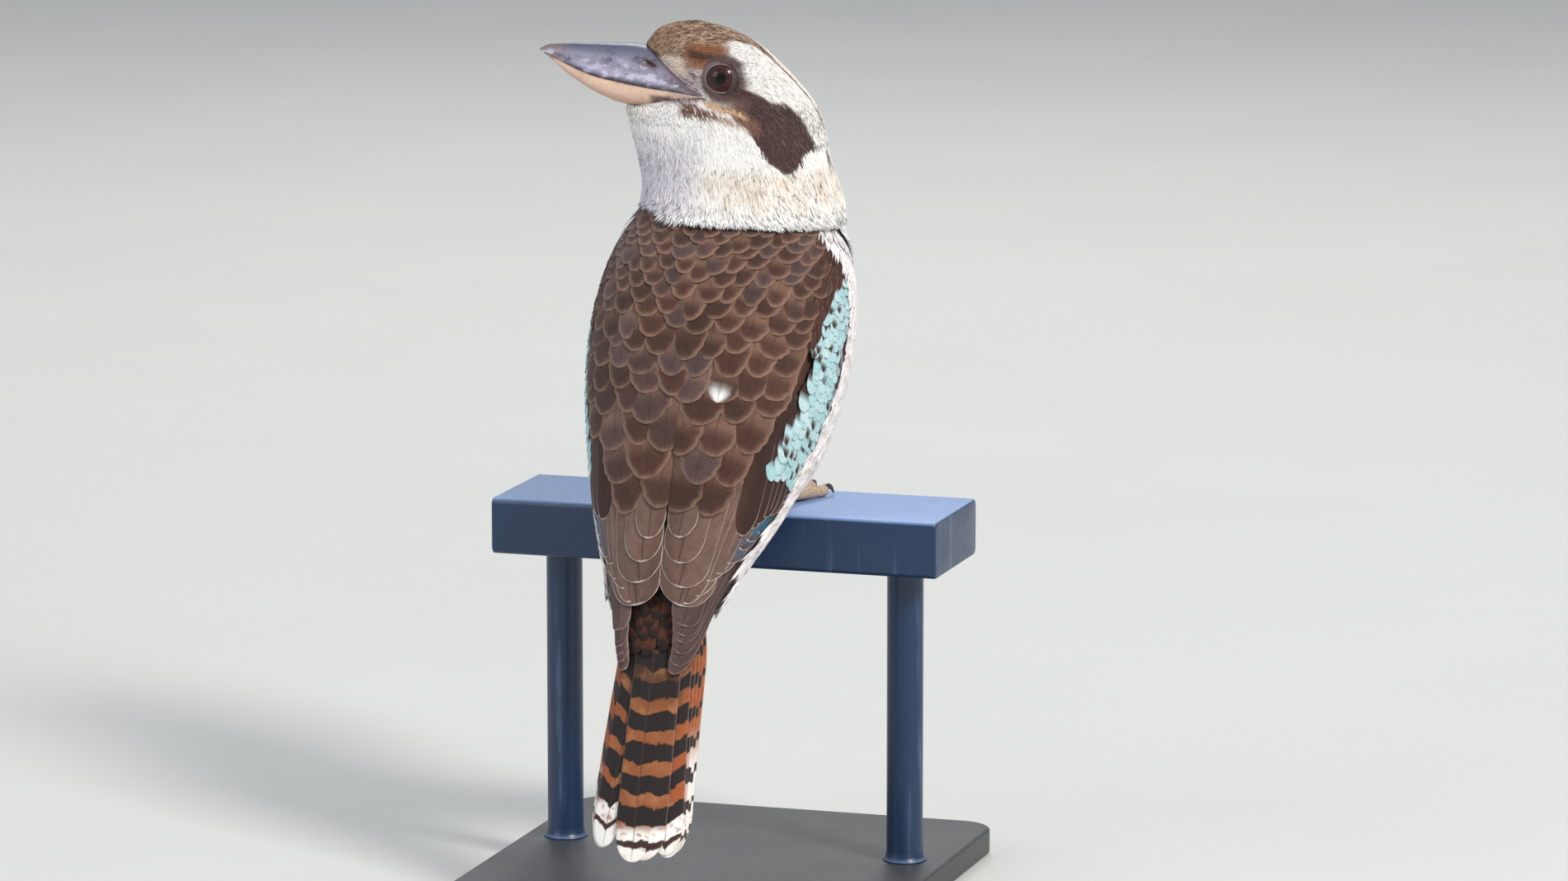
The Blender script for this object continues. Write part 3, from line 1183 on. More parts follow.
@dataclass
class Wing:
    """The feathers of the folded wings and of the back between them.

    From the deepest layer up: primaries, secondaries with teal webs, tertials, dark greater coverts, the pale
    blue spotted coverts, and the brown scales of the scapulars and mantle.
    """

    primaries: Row = Row(
        "primaries", 6, ((140, 24), (112, 72)), ((193, 13), (211, 9)), (7.4, 6.2), (-3.9, -2.3),
        Shape.QUILL, 0.32)
    secondaries: Row = Row(
        "secondaries", 8, ((112, 30), (104, 74)), ((183, 12.5), (147, 43)), (7.6, 6), (-3.5, -1.9),
        Shape.LONG, 0.06)
    tertials: Row = Row(
        "tertials", 4, ((110, 10), (118, 24)), ((157, 7), (184, 10)), (7, 14), (-2.6, -0.9),
        Shape.LONG, 0.42, 0.4)
    greater: Row = Row(
        "greater_coverts", 10, ((92, 44), (84, 84)), ((149, 34), (124, 66)), (5.6, 5.2), (-3.1, -1.3),
        Shape.LONG, 0.03)
    scale_edge: Curve = through(
        (0, 48), (20, 52), (32, 54), (54, 59.5), (75, 59), (92, 57), (104, 52.5), (118, 46), (130, 40),
        (150, 30))
    white_tip: tuple[float, float] = (99.0, 10.0)
    blue_inner: Curve = through(
        (30, 72), (40, 66), (57, 62), (70, 59.5), (84, 61), (96, 58), (110, 52), (124, 44))
    blue_outer: Curve = through((22, 82), (40, 84), (56, 82), (75, 81), (90, 80), (106, 79), (120, 75))
    left_shift: float = 7.0
    seed: int = 7

    def long_rows(self, name: str, side: int, material: bpy.types.Material) -> None:
        """The four rows of long feathers of one wing."""
        rng = np.random.default_rng(self.seed + side)
        for row in (self.primaries, self.secondaries, self.tertials, self.greater):
            wide = 6.5 if row is self.primaries and side < 0 else 0.0
            feathers = row.lay(side, rng, wide)
            feathers.grid()
            u, v = feathers.u[..., None], feathers.v[..., None]
            pick = each(rng.uniform(0.86, 1.1, row.count), 3)
            across = v[..., 0] * 0.5 + 0.5
            colour = np.broadcast_to(blend(Tone.quill, tone(124, 97, 87), across), u.shape[:-1] + (3,))
            rim = np.broadcast_to(Tone.edge, colour.shape)
            if row is self.greater:
                colour = blend(Tone.quill_dark, tone(84, 56, 46), smooth(v[..., 0], 0.2, -0.9))
                rim = np.broadcast_to(tone(196, 170, 156), colour.shape)
            elif row is self.secondaries:
                outer = each(smooth(np.arange(row.count), 1.5, 5))
                web = band(v[..., 0], 0.05, 0.86, 0.12)
                web = web * smooth(u[..., 0], 0.2, 0.5) * smooth(u[..., 0], 0.97, 0.85)
                colour = blend(blend(colour, Tone.quill_dark, 0.5 * outer), Tone.teal, 0.9 * web * outer)
                rim = blend(Tone.edge, tone(150, 150, 156), web)
            elif row is self.primaries:
                colour = blend(tone(104, 82, 78), tone(84, 62, 58), across)
                rim = np.broadcast_to(tone(150, 126, 122), colour.shape)
            rim = blend(np.minimum(colour * 1.3, 1), rim, 0.25 + 0.75 * smooth(u[..., 0], 0.7, 0.95))
            replaced = (f"wing_{name}",) if row is self.secondaries else ()
            feathers.make(f"{row.name}_{name}", colour * pick, rim, material, "brown_plumage", replaced)

    def scales(self, side: int) -> tuple[Array, Array, Array, np.random.Generator]:
        """Scales in rows that grow from the collar down to the tertials, in a brick pattern with some chance.

        Args:
            side: -1 for the left wing and 1 for the right.

        Returns:
            Their roots, tips and half-widths, and the generator for their colours.
        """
        rng = np.random.default_rng(self.seed + 40 + side)
        root, tip, half = [], [], []
        down, k = 10.0, 0
        while down < 150:
            pitch = float(np.interp(down, [10, 60, 110, 150], [8.2, 11, 15.5, 17]))
            edge = float(self.scale_edge(down)) + (self.left_shift if side < 0 and down < 125 else 0)
            first = (0.5 if k % 2 else 0.0 if side > 0 else 1.0) if down < 96 else 0.25 + 0.5 * (k % 2)
            arcs = np.arange(first * pitch, edge + 0.25 * pitch, pitch)
            arcs = arcs + rng.normal(size=len(arcs)) * 0.09 * pitch * (arcs > 1)
            bend = 9 * (arcs / 55) ** 2 * smooth(down, 0, 60)
            s = down - bend + rng.normal(size=len(arcs)) * 0.13 * pitch
            length = (pitch * 1.9 + 6) * rng.uniform(0.9, 1.1, len(arcs))
            tip.append(np.stack([s, arcs * (0.94 - 0.10 * smooth(down, 60, 130))], -1))
            root.append(np.stack([s - length, arcs + 0.02 * length + rng.normal(size=len(arcs)) * 1.2], -1))
            half.append(np.full(len(arcs), pitch * 0.66) * rng.uniform(0.88, 1.16, len(arcs)))
            down += pitch * 0.72
            k += 1
        return np.concatenate(root), np.concatenate(tip), np.concatenate(half), rng

    def back(self, material: bpy.types.Material) -> None:
        """The scales of both sides: dark brown, a broad pale fringe, paler at the root, one tipped white."""
        for name, side in SIDES:
            root, tip, half, rng = self.scales(side)
            lift = pairs(len(half), -2.9, -0.35)
            lift[:, 1] -= 0.5 * smooth(tip[:, 1], 30, 60)
            feathers = Feathers(TRUNK.spot, root, tip, half, lift, np.full(len(half), side), Shape.ROUNDED,
                                14, 10, tuck=0.35, camber=0.45,
                                seam=lambda down: 0.03 - 14 * smooth(down, 108, 92))
            feathers.grid()
            u, v, edge = feathers.u, feathers.v, feathers.edge
            pale, grey, light = (each(rng.random(len(half))) for _ in range(3))
            colour = blend(Tone.back_base, Tone.back, smooth(u + 0.12 * pale, 0.62, 0.8))
            colour = blend(colour, Tone.fringe, 0.55 * smooth(edge, 3.2, 0.6) * smooth(u, 0.5, 0.9))
            colour = blend(colour, tone(108, 90, 94), 0.4 * smooth(grey, 0.6, 1))
            outer = each(smooth(tip[:, 1], 44, 58))
            colour = blend(colour, Tone.quill_dark, 0.6 * outer)
            colour = colour * (0.74 + 0.5 * light)[..., None]
            if side > 0:
                spot = np.argmin(np.hypot(*(tip - self.white_tip).T))
                white = smooth(u[spot], 0.72, 0.9) * smooth(np.abs(v[spot]), 0.7, 0.3)
                colour[spot] = blend(colour[spot], Tone.white, white)
            feathers.make(f"back_scales_{name}", colour, np.broadcast_to(Tone.fringe, colour.shape), material,
                          "brown_plumage")

    def coverts(self, name: str, side: int, material: bpy.types.Material) -> None:
        """The band of small sky-blue coverts with dark spots, and the dark narrow coverts of the shoulder."""
        rng = np.random.default_rng(self.seed + 80 + side)
        tips = []
        for k, down in enumerate(np.arange(33, 128, 3.9)):
            inner = float(self.blue_inner(down)) + (self.left_shift if side < 0 else 1)
            arcs = np.arange(inner + 1.7 * (k % 2), float(self.blue_outer(down)) + 1, 3.5)
            spots = np.stack([np.full(len(arcs), down), arcs], -1)
            tips.append(spots + rng.normal(size=(len(arcs), 2)) * 0.8)
        tip = np.concatenate(tips)
        count = len(tip)
        half = np.full(count, 2.7) * rng.uniform(0.8, 1.25, count)
        feathers = Feathers(TRUNK.spot, tip + [-13.0, 2.2], tip, half, pairs(count, -2.6, -0.75),
                            np.full(count, side), Shape.ROUNDED, 9, 6, 0.2, 0.3, 0.2)
        feathers.grid()
        u, v = feathers.u, feathers.v
        spot = each(rng.random(count))
        dark = smooth(u + 0.2 * spot, 0.7, 0.56)
        mark = smooth(spot, 0.76, 0.8) * smooth(np.abs(v + 0.2), 0.9, 0.5) * smooth(u, 0.7, 0.8)
        last = each(smooth(tip[:, 1] - self.blue_outer(tip[:, 0]), -3.5, -1.5))
        dark = np.maximum(np.maximum(dark, mark), last)
        sky = blend(Tone.sky, tone(198, 224, 228), each(rng.random(count)))
        colour = blend(sky, Tone.quill_dark, dark)
        feathers.make(f"blue_coverts_{name}", colour, colour, material, "brown_plumage")
        tips = []
        for k, down in enumerate(np.arange(6, 74, 3.4)):
            inner = float(self.scale_edge(down)) - 4
            outer = float(np.interp(down, [0, 30, 40, 74], [84, 82, 66, 60]))
            arcs = np.arange(inner + 1.4 * (k % 2), outer, 2.9)
            down = down + rng.normal(size=len(arcs)) * 0.8
            tips.append(np.stack([down, arcs + rng.normal(size=len(arcs)) * 0.5], -1))
        tip = np.concatenate(tips)
        count = len(tip)
        feathers = Feathers(TRUNK.spot, tip + [-12.0, 1.0], tip, np.full(count, 2.1),
                            pairs(count, -2.4, -0.9), np.full(count, side), Shape.LANCE, 8, 4, 0.2, 0.2, 0.3)
        feathers.grid()
        shade = each(rng.uniform(0.75, 1.25, count), 3)
        colour = np.broadcast_to(tone(74, 42, 32), feathers.u.shape + (3,)) * shade
        feathers.make(f"shoulder_coverts_{name}", colour, colour * 1.7, material, "brown_plumage")

    def build(self, finishes: dict[str, bpy.types.Material]) -> None:
        """Both wings and the back."""
        for name, side in SIDES:
            self.long_rows(name, side, finishes["quills"])
            self.coverts(name, side, finishes["coverts"])
        self.back(finishes["scales"])


@dataclass
class Tail:
    """Twelve barred quill feathers, the middle pair on top, and dark coverts over their roots."""

    quill: float = 172.0
    tip: float = 296.0
    pairs: int = 6
    half_tail: Curve = through((160, 25), (184, 20.5), (212, 20), (240, 22), (303, 23.6))
    root_depth: Curve = through((150, 11), (172, 7.5), (190, 4.9), (206, 3.9))
    droop: float = 0.012
    seed: int = 3

    def build(self, material: bpy.types.Material, coverts: bpy.types.Material) -> None:
        """Lays the quills and their coverts, above and below."""
        rng = np.random.default_rng(self.seed)
        pair = np.repeat(np.arange(self.pairs), 2).astype(float)
        side = np.tile([-1, 1], self.pairs)
        t, middle = pair / (self.pairs - 1), pair == 0
        tip = self.tip - np.interp(pair, [0, 1, 2, 5], [0, 4.5, 4, 10]) - 2 * (side < 0) * (pair > 0)
        tip = tip + 0.4 * rng.normal(size=2 * self.pairs) - 0.4
        tip = np.minimum(tip, self.tip)
        level = 0.85 * pair + np.where(side > 0, 0.42, 0) - 2.7
        half = np.where(middle, 8.6, 7.2 - 1.4 * t)
        start = 1.6 + 11.4 * t ** 0.6
        end = np.interp(pair, [0, 1, 5], [2.4, 13.8, 16.8]) + side * np.interp(pair, [0, 1, 5], [4.5, 1.4, 1])

        def place(down: Array, across: Array, high: Array) -> Array:
            """A point of the tail: its level falls with the square of its distance from the middle."""
            return trunk_point(TRUNK.lean(down) + across, down, self.droop * across * across - high)

        quills = Feathers(
            place, pairs(2 * self.pairs, self.quill, start), np.stack([tip, end], -1), half,
            pairs(2 * self.pairs, -level, -level), side, Shape.QUILL, 44, 10, 0.5, 0.3, 0.15,
            seam=lambda down: -20 + 0 * down)
        quills.grid()
        colour = np.broadcast_to(Tone.orange, quills.u.shape + (3,))
        left = ((1 - quills.u) * each(tip - self.quill)) + each(np.where(middle, 9, 3))
        late = each(np.where(side < 0, 0.16, 0))
        pale = each(smooth(pair, 1.5, 2.5)) * smooth(quills.u - late, 0.5, 0.68)
        pale = np.maximum(pale, smooth(left, 26, 21))
        colour = blend(blend(colour, tone(160, 80, 36), smooth(quills.around, 12, 17)), Tone.white, pale)
        colour = blend(colour, Tone.rump, 0.9 * smooth(quills.down, 232, 206) * smooth(quills.around, 20, 10))
        shift = tip - self.tip + np.where(middle, 0.7, 2) * side + 0.6 * rng.normal(size=2 * self.pairs)
        outer = np.where(side < 0, 1.2 * t - 0.45 * (pair > 0), t)
        slant = np.where(middle, 2.0, 6.0)
        numbers = {"down": quills.down - each(shift), "outer": each(outer), "chevron": each(slant)}
        numbers = {key: np.broadcast_to(value, quills.u.shape) for key, value in numbers.items()}
        quills.make("tail_quills", colour, colour, material, "tail_plumage", ("tail",), numbers)
        for name, sign, shade in (("upper", 1, Tone.rump), ("under", -1, Tone.white)):
            self.coverts(name, sign, shade, rng, coverts)

    def coverts(self, name: str, sign: int, shade: Array, rng: np.random.Generator,
                material: bpy.types.Material) -> None:
        """The coverts over the quills' roots.

        Args:
            name: which side of the tail, for the piece's name.
            sign: 1 for the upper side and -1 for the under side.
            shade: their colour.
            rng: gives each feather a small difference.
            material: their finish.
        """
        arcs, downs, sides = [], [], []
        for k, down in enumerate(np.arange(168, 206, 5.0)):
            width = float(self.half_tail(down)) * (0.85 if sign > 0 else 0.8)
            across = np.arange(1.5 + 2.4 * (k % 2), width, 4.8)
            for flank in (-1, 1):
                arcs.append(across)
                downs.append(np.full(len(across), down) + rng.normal(size=len(across)))
                sides.append(np.full(len(across), flank))
        arc, down, flank = np.concatenate(arcs), np.concatenate(downs), np.concatenate(sides)
        count = len(arc)

        def place(down: Array, across: Array, high: Array) -> Array:
            """A point over the quills' roots, above or below."""
            bulge = self.root_depth(down) * np.sqrt(np.maximum(1 - (across / 27) ** 2, 0.02))
            out = -sign * (bulge + high) + self.droop * across ** 2
            return trunk_point(TRUNK.lean(down) + across, down, out)

        feathers = Feathers(
            place, np.stack([down - 20, arc * 0.95], -1), np.stack([down, arc], -1), np.full(count, 3.9),
            pairs(count, -1.2, 0.2), flank, Shape.ROUNDED, 9, 4, 0.2, 0.2, 0.2, over=sign)
        feathers.grid()
        colour = np.broadcast_to(shade, feathers.u.shape + (3,)) * each(rng.uniform(0.8, 1.2, count), 3)
        if sign > 0:
            colour = blend(colour, tone(120, 60, 30), 0.6 * band(feathers.u, 0.62, 0.78, 0.08))
        colour = np.minimum(colour, 1)
        feathers.make(f"tail_coverts_{name}", colour, colour, material, "tail_plumage")


@dataclass(frozen=True)
class TailFinish:
    """Dark wavy bars across rufous and white quills, with a narrow dark bar inside each white tip."""

    first: float = 203.0
    pitch: float = 14.1
    bars_end: tuple[float, float] = (281.5, 283.0)
    bar_start: tuple[float, float] = (288.6, 289.4)
    bar_end: tuple[float, float] = (291.4, 292.6)

    def material(self) -> bpy.types.Material:
        """The material: a bar where the sine of the distance down passes a threshold."""
        shade = Shade("barred_tail")
        along, across, _ = shade.split(shade.map("vane"))
        web = (across - 0.5).size() * 2
        wander = shade.noise(shade.place(), 0.14, 3) - 0.5
        down = shade.number("down") + web * shade.number("chevron") + wander * 7
        wave = ((down - self.first) * (CYCLE / self.pitch)).sine() + 0.36 - shade.number("outer") * 0.9
        bars = wave.step(-0.05, 0.3) * (1 - down.step(*self.bars_end))
        last = down.step(*self.bar_start) * (1 - down.step(*self.bar_end))
        blot = shade.noise(shade.place(), 0.35, 2).step(0.56, 0.66) * down.step(279, 284) * 0.6
        blot = blot * (1 - down.step(287, 289))
        ribs = ((along + web * 0.1) * 900 + wander * 20).sine() * 0.5 + 0.5
        colour = shade.colour("plumage")
        fade = shade.noise(shade.place(), 0.12, 3).step(0.45, 0.7)
        colour = shade.mix(colour, tone(196, 140, 92), fade * 0.3)
        colour = shade.mix(colour, tone(150, 84, 40), blot)
        colour = shade.mix(colour, tone(28, 16, 15), bars)
        colour = shade.mix(colour, tone(60, 34, 30), last)
        colour = shade.mix(colour, (0, 0, 0), (1 - ribs) * 0.12)
        ridge = 1 - web.step(0.02, 0.06)
        colour = shade.mix(colour, tone(60, 40, 34), ridge * 0.45)
        edge = 1 - shade.number("edge").step(0.1, 0.5)
        colour = shade.mix(colour, tone(200, 176, 160), edge * 0.15)
        return shade.done({
            "Base Color": colour, "Roughness": 0.62, "Specular IOR Level": 0.3, "Sheen Weight": 0.12,
            "Normal": shade.bump(ribs + ridge * 2, 0.1, 0.6)})


@dataclass
class Bill:
    """The two halves of the bill: from the line of the mouth to the ridge or keel, narrowing to the tip."""

    ridge: Curve = through(
        (8, 180.2), (14, 183), (20, 187.6), (29, 194.4), (37, 198.9), (53, 199.5), (68, 199.3), (77, 198.8),
        (81, 198.1), (84.2, 196.4))
    keel: Curve = through(
        (8, 178), (14, 176), (22, 173.6), (33, 172.3), (46, 172.9), (57, 176.7), (68, 183), (75, 188.2),
        (79.7, 192.4), (82.6, 194.6))
    half: Curve = through(
        (8, 17.6), (14, 16.9), (20, 15.6), (30, 13.2), (37, 11.6), (50, 8.8), (60, 6.9), (70, 4.6), (78, 2.5),
        (84.2, 0.7))
    nostril: Triple = (33.2, 191.6, 0.5)

    def slit(self, a: Array, z: Array) -> tuple[Array, Array]:
        """Coordinates of points along and across the nostril's slit."""
        a0, z0, slope = self.nostril
        return (a - a0) + (z - z0) * slope, (z - z0) - (a - a0) * slope

    def holds(self, points: Array) -> Array:
        """True for points inside the bill."""
        a, left, z = head_axes(points)
        inside = (z < self.ridge(a) - 0.7) & (z > self.keel(a) + 1.4)
        return inside & (np.abs(left) < self.half(a) - 1.5) & (a > 17)

    def form(self, upper: bool) -> tuple[Array, Array, Array]:
        """The rings of one half.

        The half-width goes as cos^0.7 of the turn and the height as sin^0.9, as in the solids. To that come a
        fold along the mouth's corner, and a dent with a raised rim for each nostril.

        Args:
            upper: the upper half, or else the lower one.

        Returns:
            The rings, and each point's distance ahead and height.
        """
        u = np.linspace(0, 1, 130)[:, None]
        tip = 84.2 if upper else 82.4
        a = 9 + (tip - 9) * (0.75 * u + 0.25 * np.sin(u * np.pi / 2))
        turn = turns(96)[None]
        sign = 1 if upper else -1
        edge = MOUTH(a) + sign * 0.12
        far = self.ridge(a) if upper else self.keel(a)
        out = np.maximum(np.sin(turn), 0) ** 0.9
        z = edge + (far - edge) * out
        half = self.half(a) - (0 if upper else 0.45)
        left = half * power(np.cos(turn), 0.7)
        level = (z - MOUTH(a) - (0.8 if upper else -0.2)) / 2.2
        flange = smooth(a, 27, 13) * np.exp(-level ** 2)
        left = left + np.sign(np.cos(turn)) * flange * 3.0 * np.minimum(np.abs(np.cos(turn)) * 3, 1)
        if upper:
            along, across = self.slit(a, z)
            dent = np.exp(-(along / 3.4) ** 4 - (across / 0.85) ** 2)
            lip = np.exp(-(along / 4.2) ** 4 - ((across - 1.6) / 0.9) ** 2)
            left = left - np.sign(np.cos(turn)) * (1.9 * dent - 0.45 * lip) * (np.abs(np.cos(turn)) > 0.05)
        a, left, z = np.broadcast_arrays(a, left, z)
        return head_point(a, left, z), a, z

    def build(self, materials: dict[str, bpy.types.Material]) -> None:
        """Makes both halves, coloured by place."""
        for upper, name in ((True, "bill_upper"), (False, "bill_lower")):
            rings, a, z = self.form(upper)
            points = Builder.close(rings[:, ::-1])
            a, z = a[:, ::-1].ravel(), z[:, ::-1].ravel()
            a, z = np.append(a, [9, a.max()]), np.append(z, [z[0], z[-1]])
            if upper:
                share = (z - MOUTH(a)) / np.maximum(self.ridge(a) - MOUTH(a), 0.5)
                colour = blend(tone(136, 132, 154), tone(80, 84, 104), smooth(share, 0.5, 1))
                net = smooth(share, 0.75, 0.3)
                along, across = self.slit(a, z)
                patches = (
                    (tone(60, 54, 70), 0.8 * smooth(share, 0.16, 0.02)),
                    (tone(196, 188, 210), 0.6 * band(share, 0.16, 0.3, 0.08) * smooth(a, 76, 60)),
                    (tone(120, 104, 104), smooth(a, 68, 80)),
                    (tone(88, 70, 70), 0.7 * smooth(a, 30, 22)),
                    (tone(96, 66, 56), np.exp(-(along / 5.2) ** 4 - (across / 2.0) ** 2)),
                    (tone(18, 12, 12), np.exp(-(along / 3.6) ** 4 - (across / 0.8) ** 2)))
            else:
                share = (MOUTH(a) - z) / np.maximum(MOUTH(a) - self.keel(a), 0.5)
                colour = blend(tone(228, 192, 168), tone(192, 146, 120), smooth(share, 0.5, 1))
                net = np.ones_like(a)
                patches = (
                    (tone(112, 70, 56), 0.85 * smooth(share, 0.85, 1.0) * smooth(a, 30, 40)),
                    (tone(120, 84, 74), 0.8 * smooth(share, 0.1, 0.0)),
                    (tone(70, 44, 50), 0.92 * band(a, 23, 33, 2) * band(share, 0.35, 0.95, 0.12)),
                    (tone(202, 180, 178), 0.7 * smooth(a, 24, 18) * smooth(share, 0.4, 0.2)),
                    (tone(92, 66, 58), smooth(a, 76, 81)))
            for paint, strength in patches:
                colour = blend(colour, paint, strength)
            Builder.make(name + "_horn", points, Builder.tube(*rings.shape[:2]),
                         {"plumage": colour}, {"net": net}, None, materials[name], name, (name,))


BILL = Bill()


@dataclass(frozen=True)
class Horn:
    """Horn of the bill or claws: mottles over its painted colour, fine growth lines and a soft gloss."""

    name: str
    light: tuple[int, int, int]
    dark: tuple[int, int, int]
    mottle: float
    roughness: float = 0.42

    def material(self) -> bpy.types.Material:
        """The material."""
        shade = Shade(self.name)
        blotch = shade.noise(shade.place((1, 1, 1.8)), 0.16, 6, 0.65)
        fine = shade.noise(shade.place(), 0.6, 4, 0.6)
        lines = shade.noise(shade.place((0.25, 1, 2.2)), 0.9, 2)
        colour = shade.colour("plumage")
        net = shade.number("net")
        colour = shade.mix(colour, tone(*self.light), blotch.step(0.5, 0.62) * net * self.mottle)
        colour = shade.mix(colour, tone(*self.dark), (1 - blotch.step(0.34, 0.45)) * self.mottle)
        colour = shade.mix(colour, tone(*self.dark), fine.step(0.58, 0.7) * (0.5 * self.mottle))
        return shade.done({
            "Base Color": colour, "Roughness": self.roughness + (fine - 0.5) * 0.3, "Coat Weight": 0.15,
            "Coat Roughness": 0.3, "Normal": shade.bump(lines + blotch * 0.6, 0.12, 0.5)})


@dataclass
class Eyes:
    """Dark red-brown eyes with a black pupil under a clear bulge, in a fine ring of bare lid."""

    ahead: float = -0.2
    beside: float = 15.2
    high: float = 187.3
    radius: float = 8.2
    lid: float = 6.8
    flat: float = 0.88
    rim: float = 0.3
    forward: float = 1.0

    def axes(self, side: int) -> tuple[Array, Array, Array, Array]:
        """One eye's middle, its outward axis and two directions across it."""
        middle = head_point(self.ahead, side * self.beside, self.high)
        axis = unit(side * LEFTWARD + np.tan(np.radians(self.forward)) * FORWARD)
        across = unit(np.cross(UP, axis))
        return middle, axis, across, np.cross(axis, across)

    def ball(self, side: int, rings: int, sides: int) -> tuple[Array, dict[str, Array]]:
        """One eye's points, and for each its angle from the axis and its turn round it, as shares."""
        middle, axis, across, up = self.axes(side)
        polar = np.linspace(0.02, np.pi - 0.02, rings)[:, None]
        turn = turns(sides)[None]
        round_axis = np.cos(turn)[..., None] * across + np.sin(turn)[..., None] * up
        points = (middle + (self.radius * np.cos(polar))[..., None] * axis
                  + (self.radius * np.sin(polar))[..., None] * round_axis)
        share = np.broadcast_to(polar / np.pi, points.shape[:2]).ravel()
        spin = np.broadcast_to(turn / (2 * np.pi), points.shape[:2]).ravel()
        return Builder.close(points), {"polar": np.append(share, [0, 1]), "spin": np.append(spin, [0, 0])}

    def lid_ring(self, side: int, rings: int, sides: int) -> tuple[Array, Array]:
        """One lid's points, folded and notched, and their distances from the eye's axis."""
        middle, axis, across, up = self.axes(side)
        ring, tube = turns(rings)[:, None], turns(sides)[None]
        far = np.broadcast_to(7.9 - 1.15 * np.cos(tube), (rings, sides))
        lip = np.exp(-((far - 7.05) / 0.36) ** 2) * (1 + 0.1 * np.sin(19 * ring))
        folds = 0.1 * np.sin(4.2 * far + 0.6 * np.sin(3 * ring)) * smooth(far, 7.3, 7.9)
        oval = self.lid * np.hypot(np.cos(ring), self.flat * np.sin(ring))
        lift = np.sqrt(self.radius ** 2 - oval ** 2) - 0.3 * (far - self.lid)
        lift = lift + (self.rim * lip + folds + 0.25) * np.sin(tube) - 0.1
        beside = (far * np.cos(ring))[..., None] * across + (far * np.sin(ring) * self.flat)[..., None] * up
        return middle + lift[..., None] * axis + beside, far

    def build(self, eye: bpy.types.Material, lid: bpy.types.Material) -> None:
        """Makes both eyes and their lids."""
        for name, side in (("left", 1), ("right", -1)):
            points, shares = self.ball(side, 64, 72)
            Builder.make(f"eyeball_{name}", points, Builder.tube(64, 72), None, shares, None, eye, "eye",
                         (f"eye_{name}",))
            rings, far = self.lid_ring(side, 96, 18)
            i, j = np.meshgrid(np.arange(96), np.arange(18), indexing="ij")
            ni, nj = (i + 1) % 96, (j + 1) % 18
            faces = np.stack([i * 18 + nj, ni * 18 + nj, ni * 18 + j, i * 18 + j], -1).reshape(-1, 4)
            colour = blend(tone(164, 142, 148), tone(30, 20, 22), smooth(far, 6.9, 6.78))
            colour = blend(colour, tone(98, 78, 76), smooth(far, 7.1, 7.35)).reshape(-1, 3)
            Builder.make(f"lid_{name}", rings, faces, {"plumage": colour}, None, None, lid, "white_plumage")


EYES = Eyes()


@dataclass(frozen=True)
class EyeFinish:
    """Pupil, iris with fine rays, and dark rim, set by the angle from the eye's axis, under a clear coat."""

    pupil: float = 0.1
    iris: float = 0.283

    def material(self) -> bpy.types.Material:
        """The material."""
        shade = Shade("eye")
        polar, spin = shade.number("polar"), shade.number("spin")
        rays = (spin * (CYCLE * 46)).sine() * 0.5 + 0.5
        grain = shade.noise(shade.place(), 1.4, 4)
        iris = shade.mix(tone(62, 32, 30), tone(38, 18, 20), rays * 0.35 + grain * 0.5)
        iris = shade.mix(iris, tone(84, 48, 44), (1 - (polar - 0.22).size().step(0.0, 0.05)) * 0.45)
        colour = shade.mix(iris, tone(8, 5, 6), 1 - polar.step(self.pupil - 0.006, self.pupil + 0.006))
        colour = shade.mix(colour, tone(16, 10, 10), polar.step(self.iris - 0.02, self.iris + 0.01))
        return shade.done({
            "Base Color": colour, "Roughness": 0.3, "Coat Weight": 0.45, "Coat Roughness": 0.02,
            "Coat IOR": 1.36, "Specular IOR Level": 0.15})


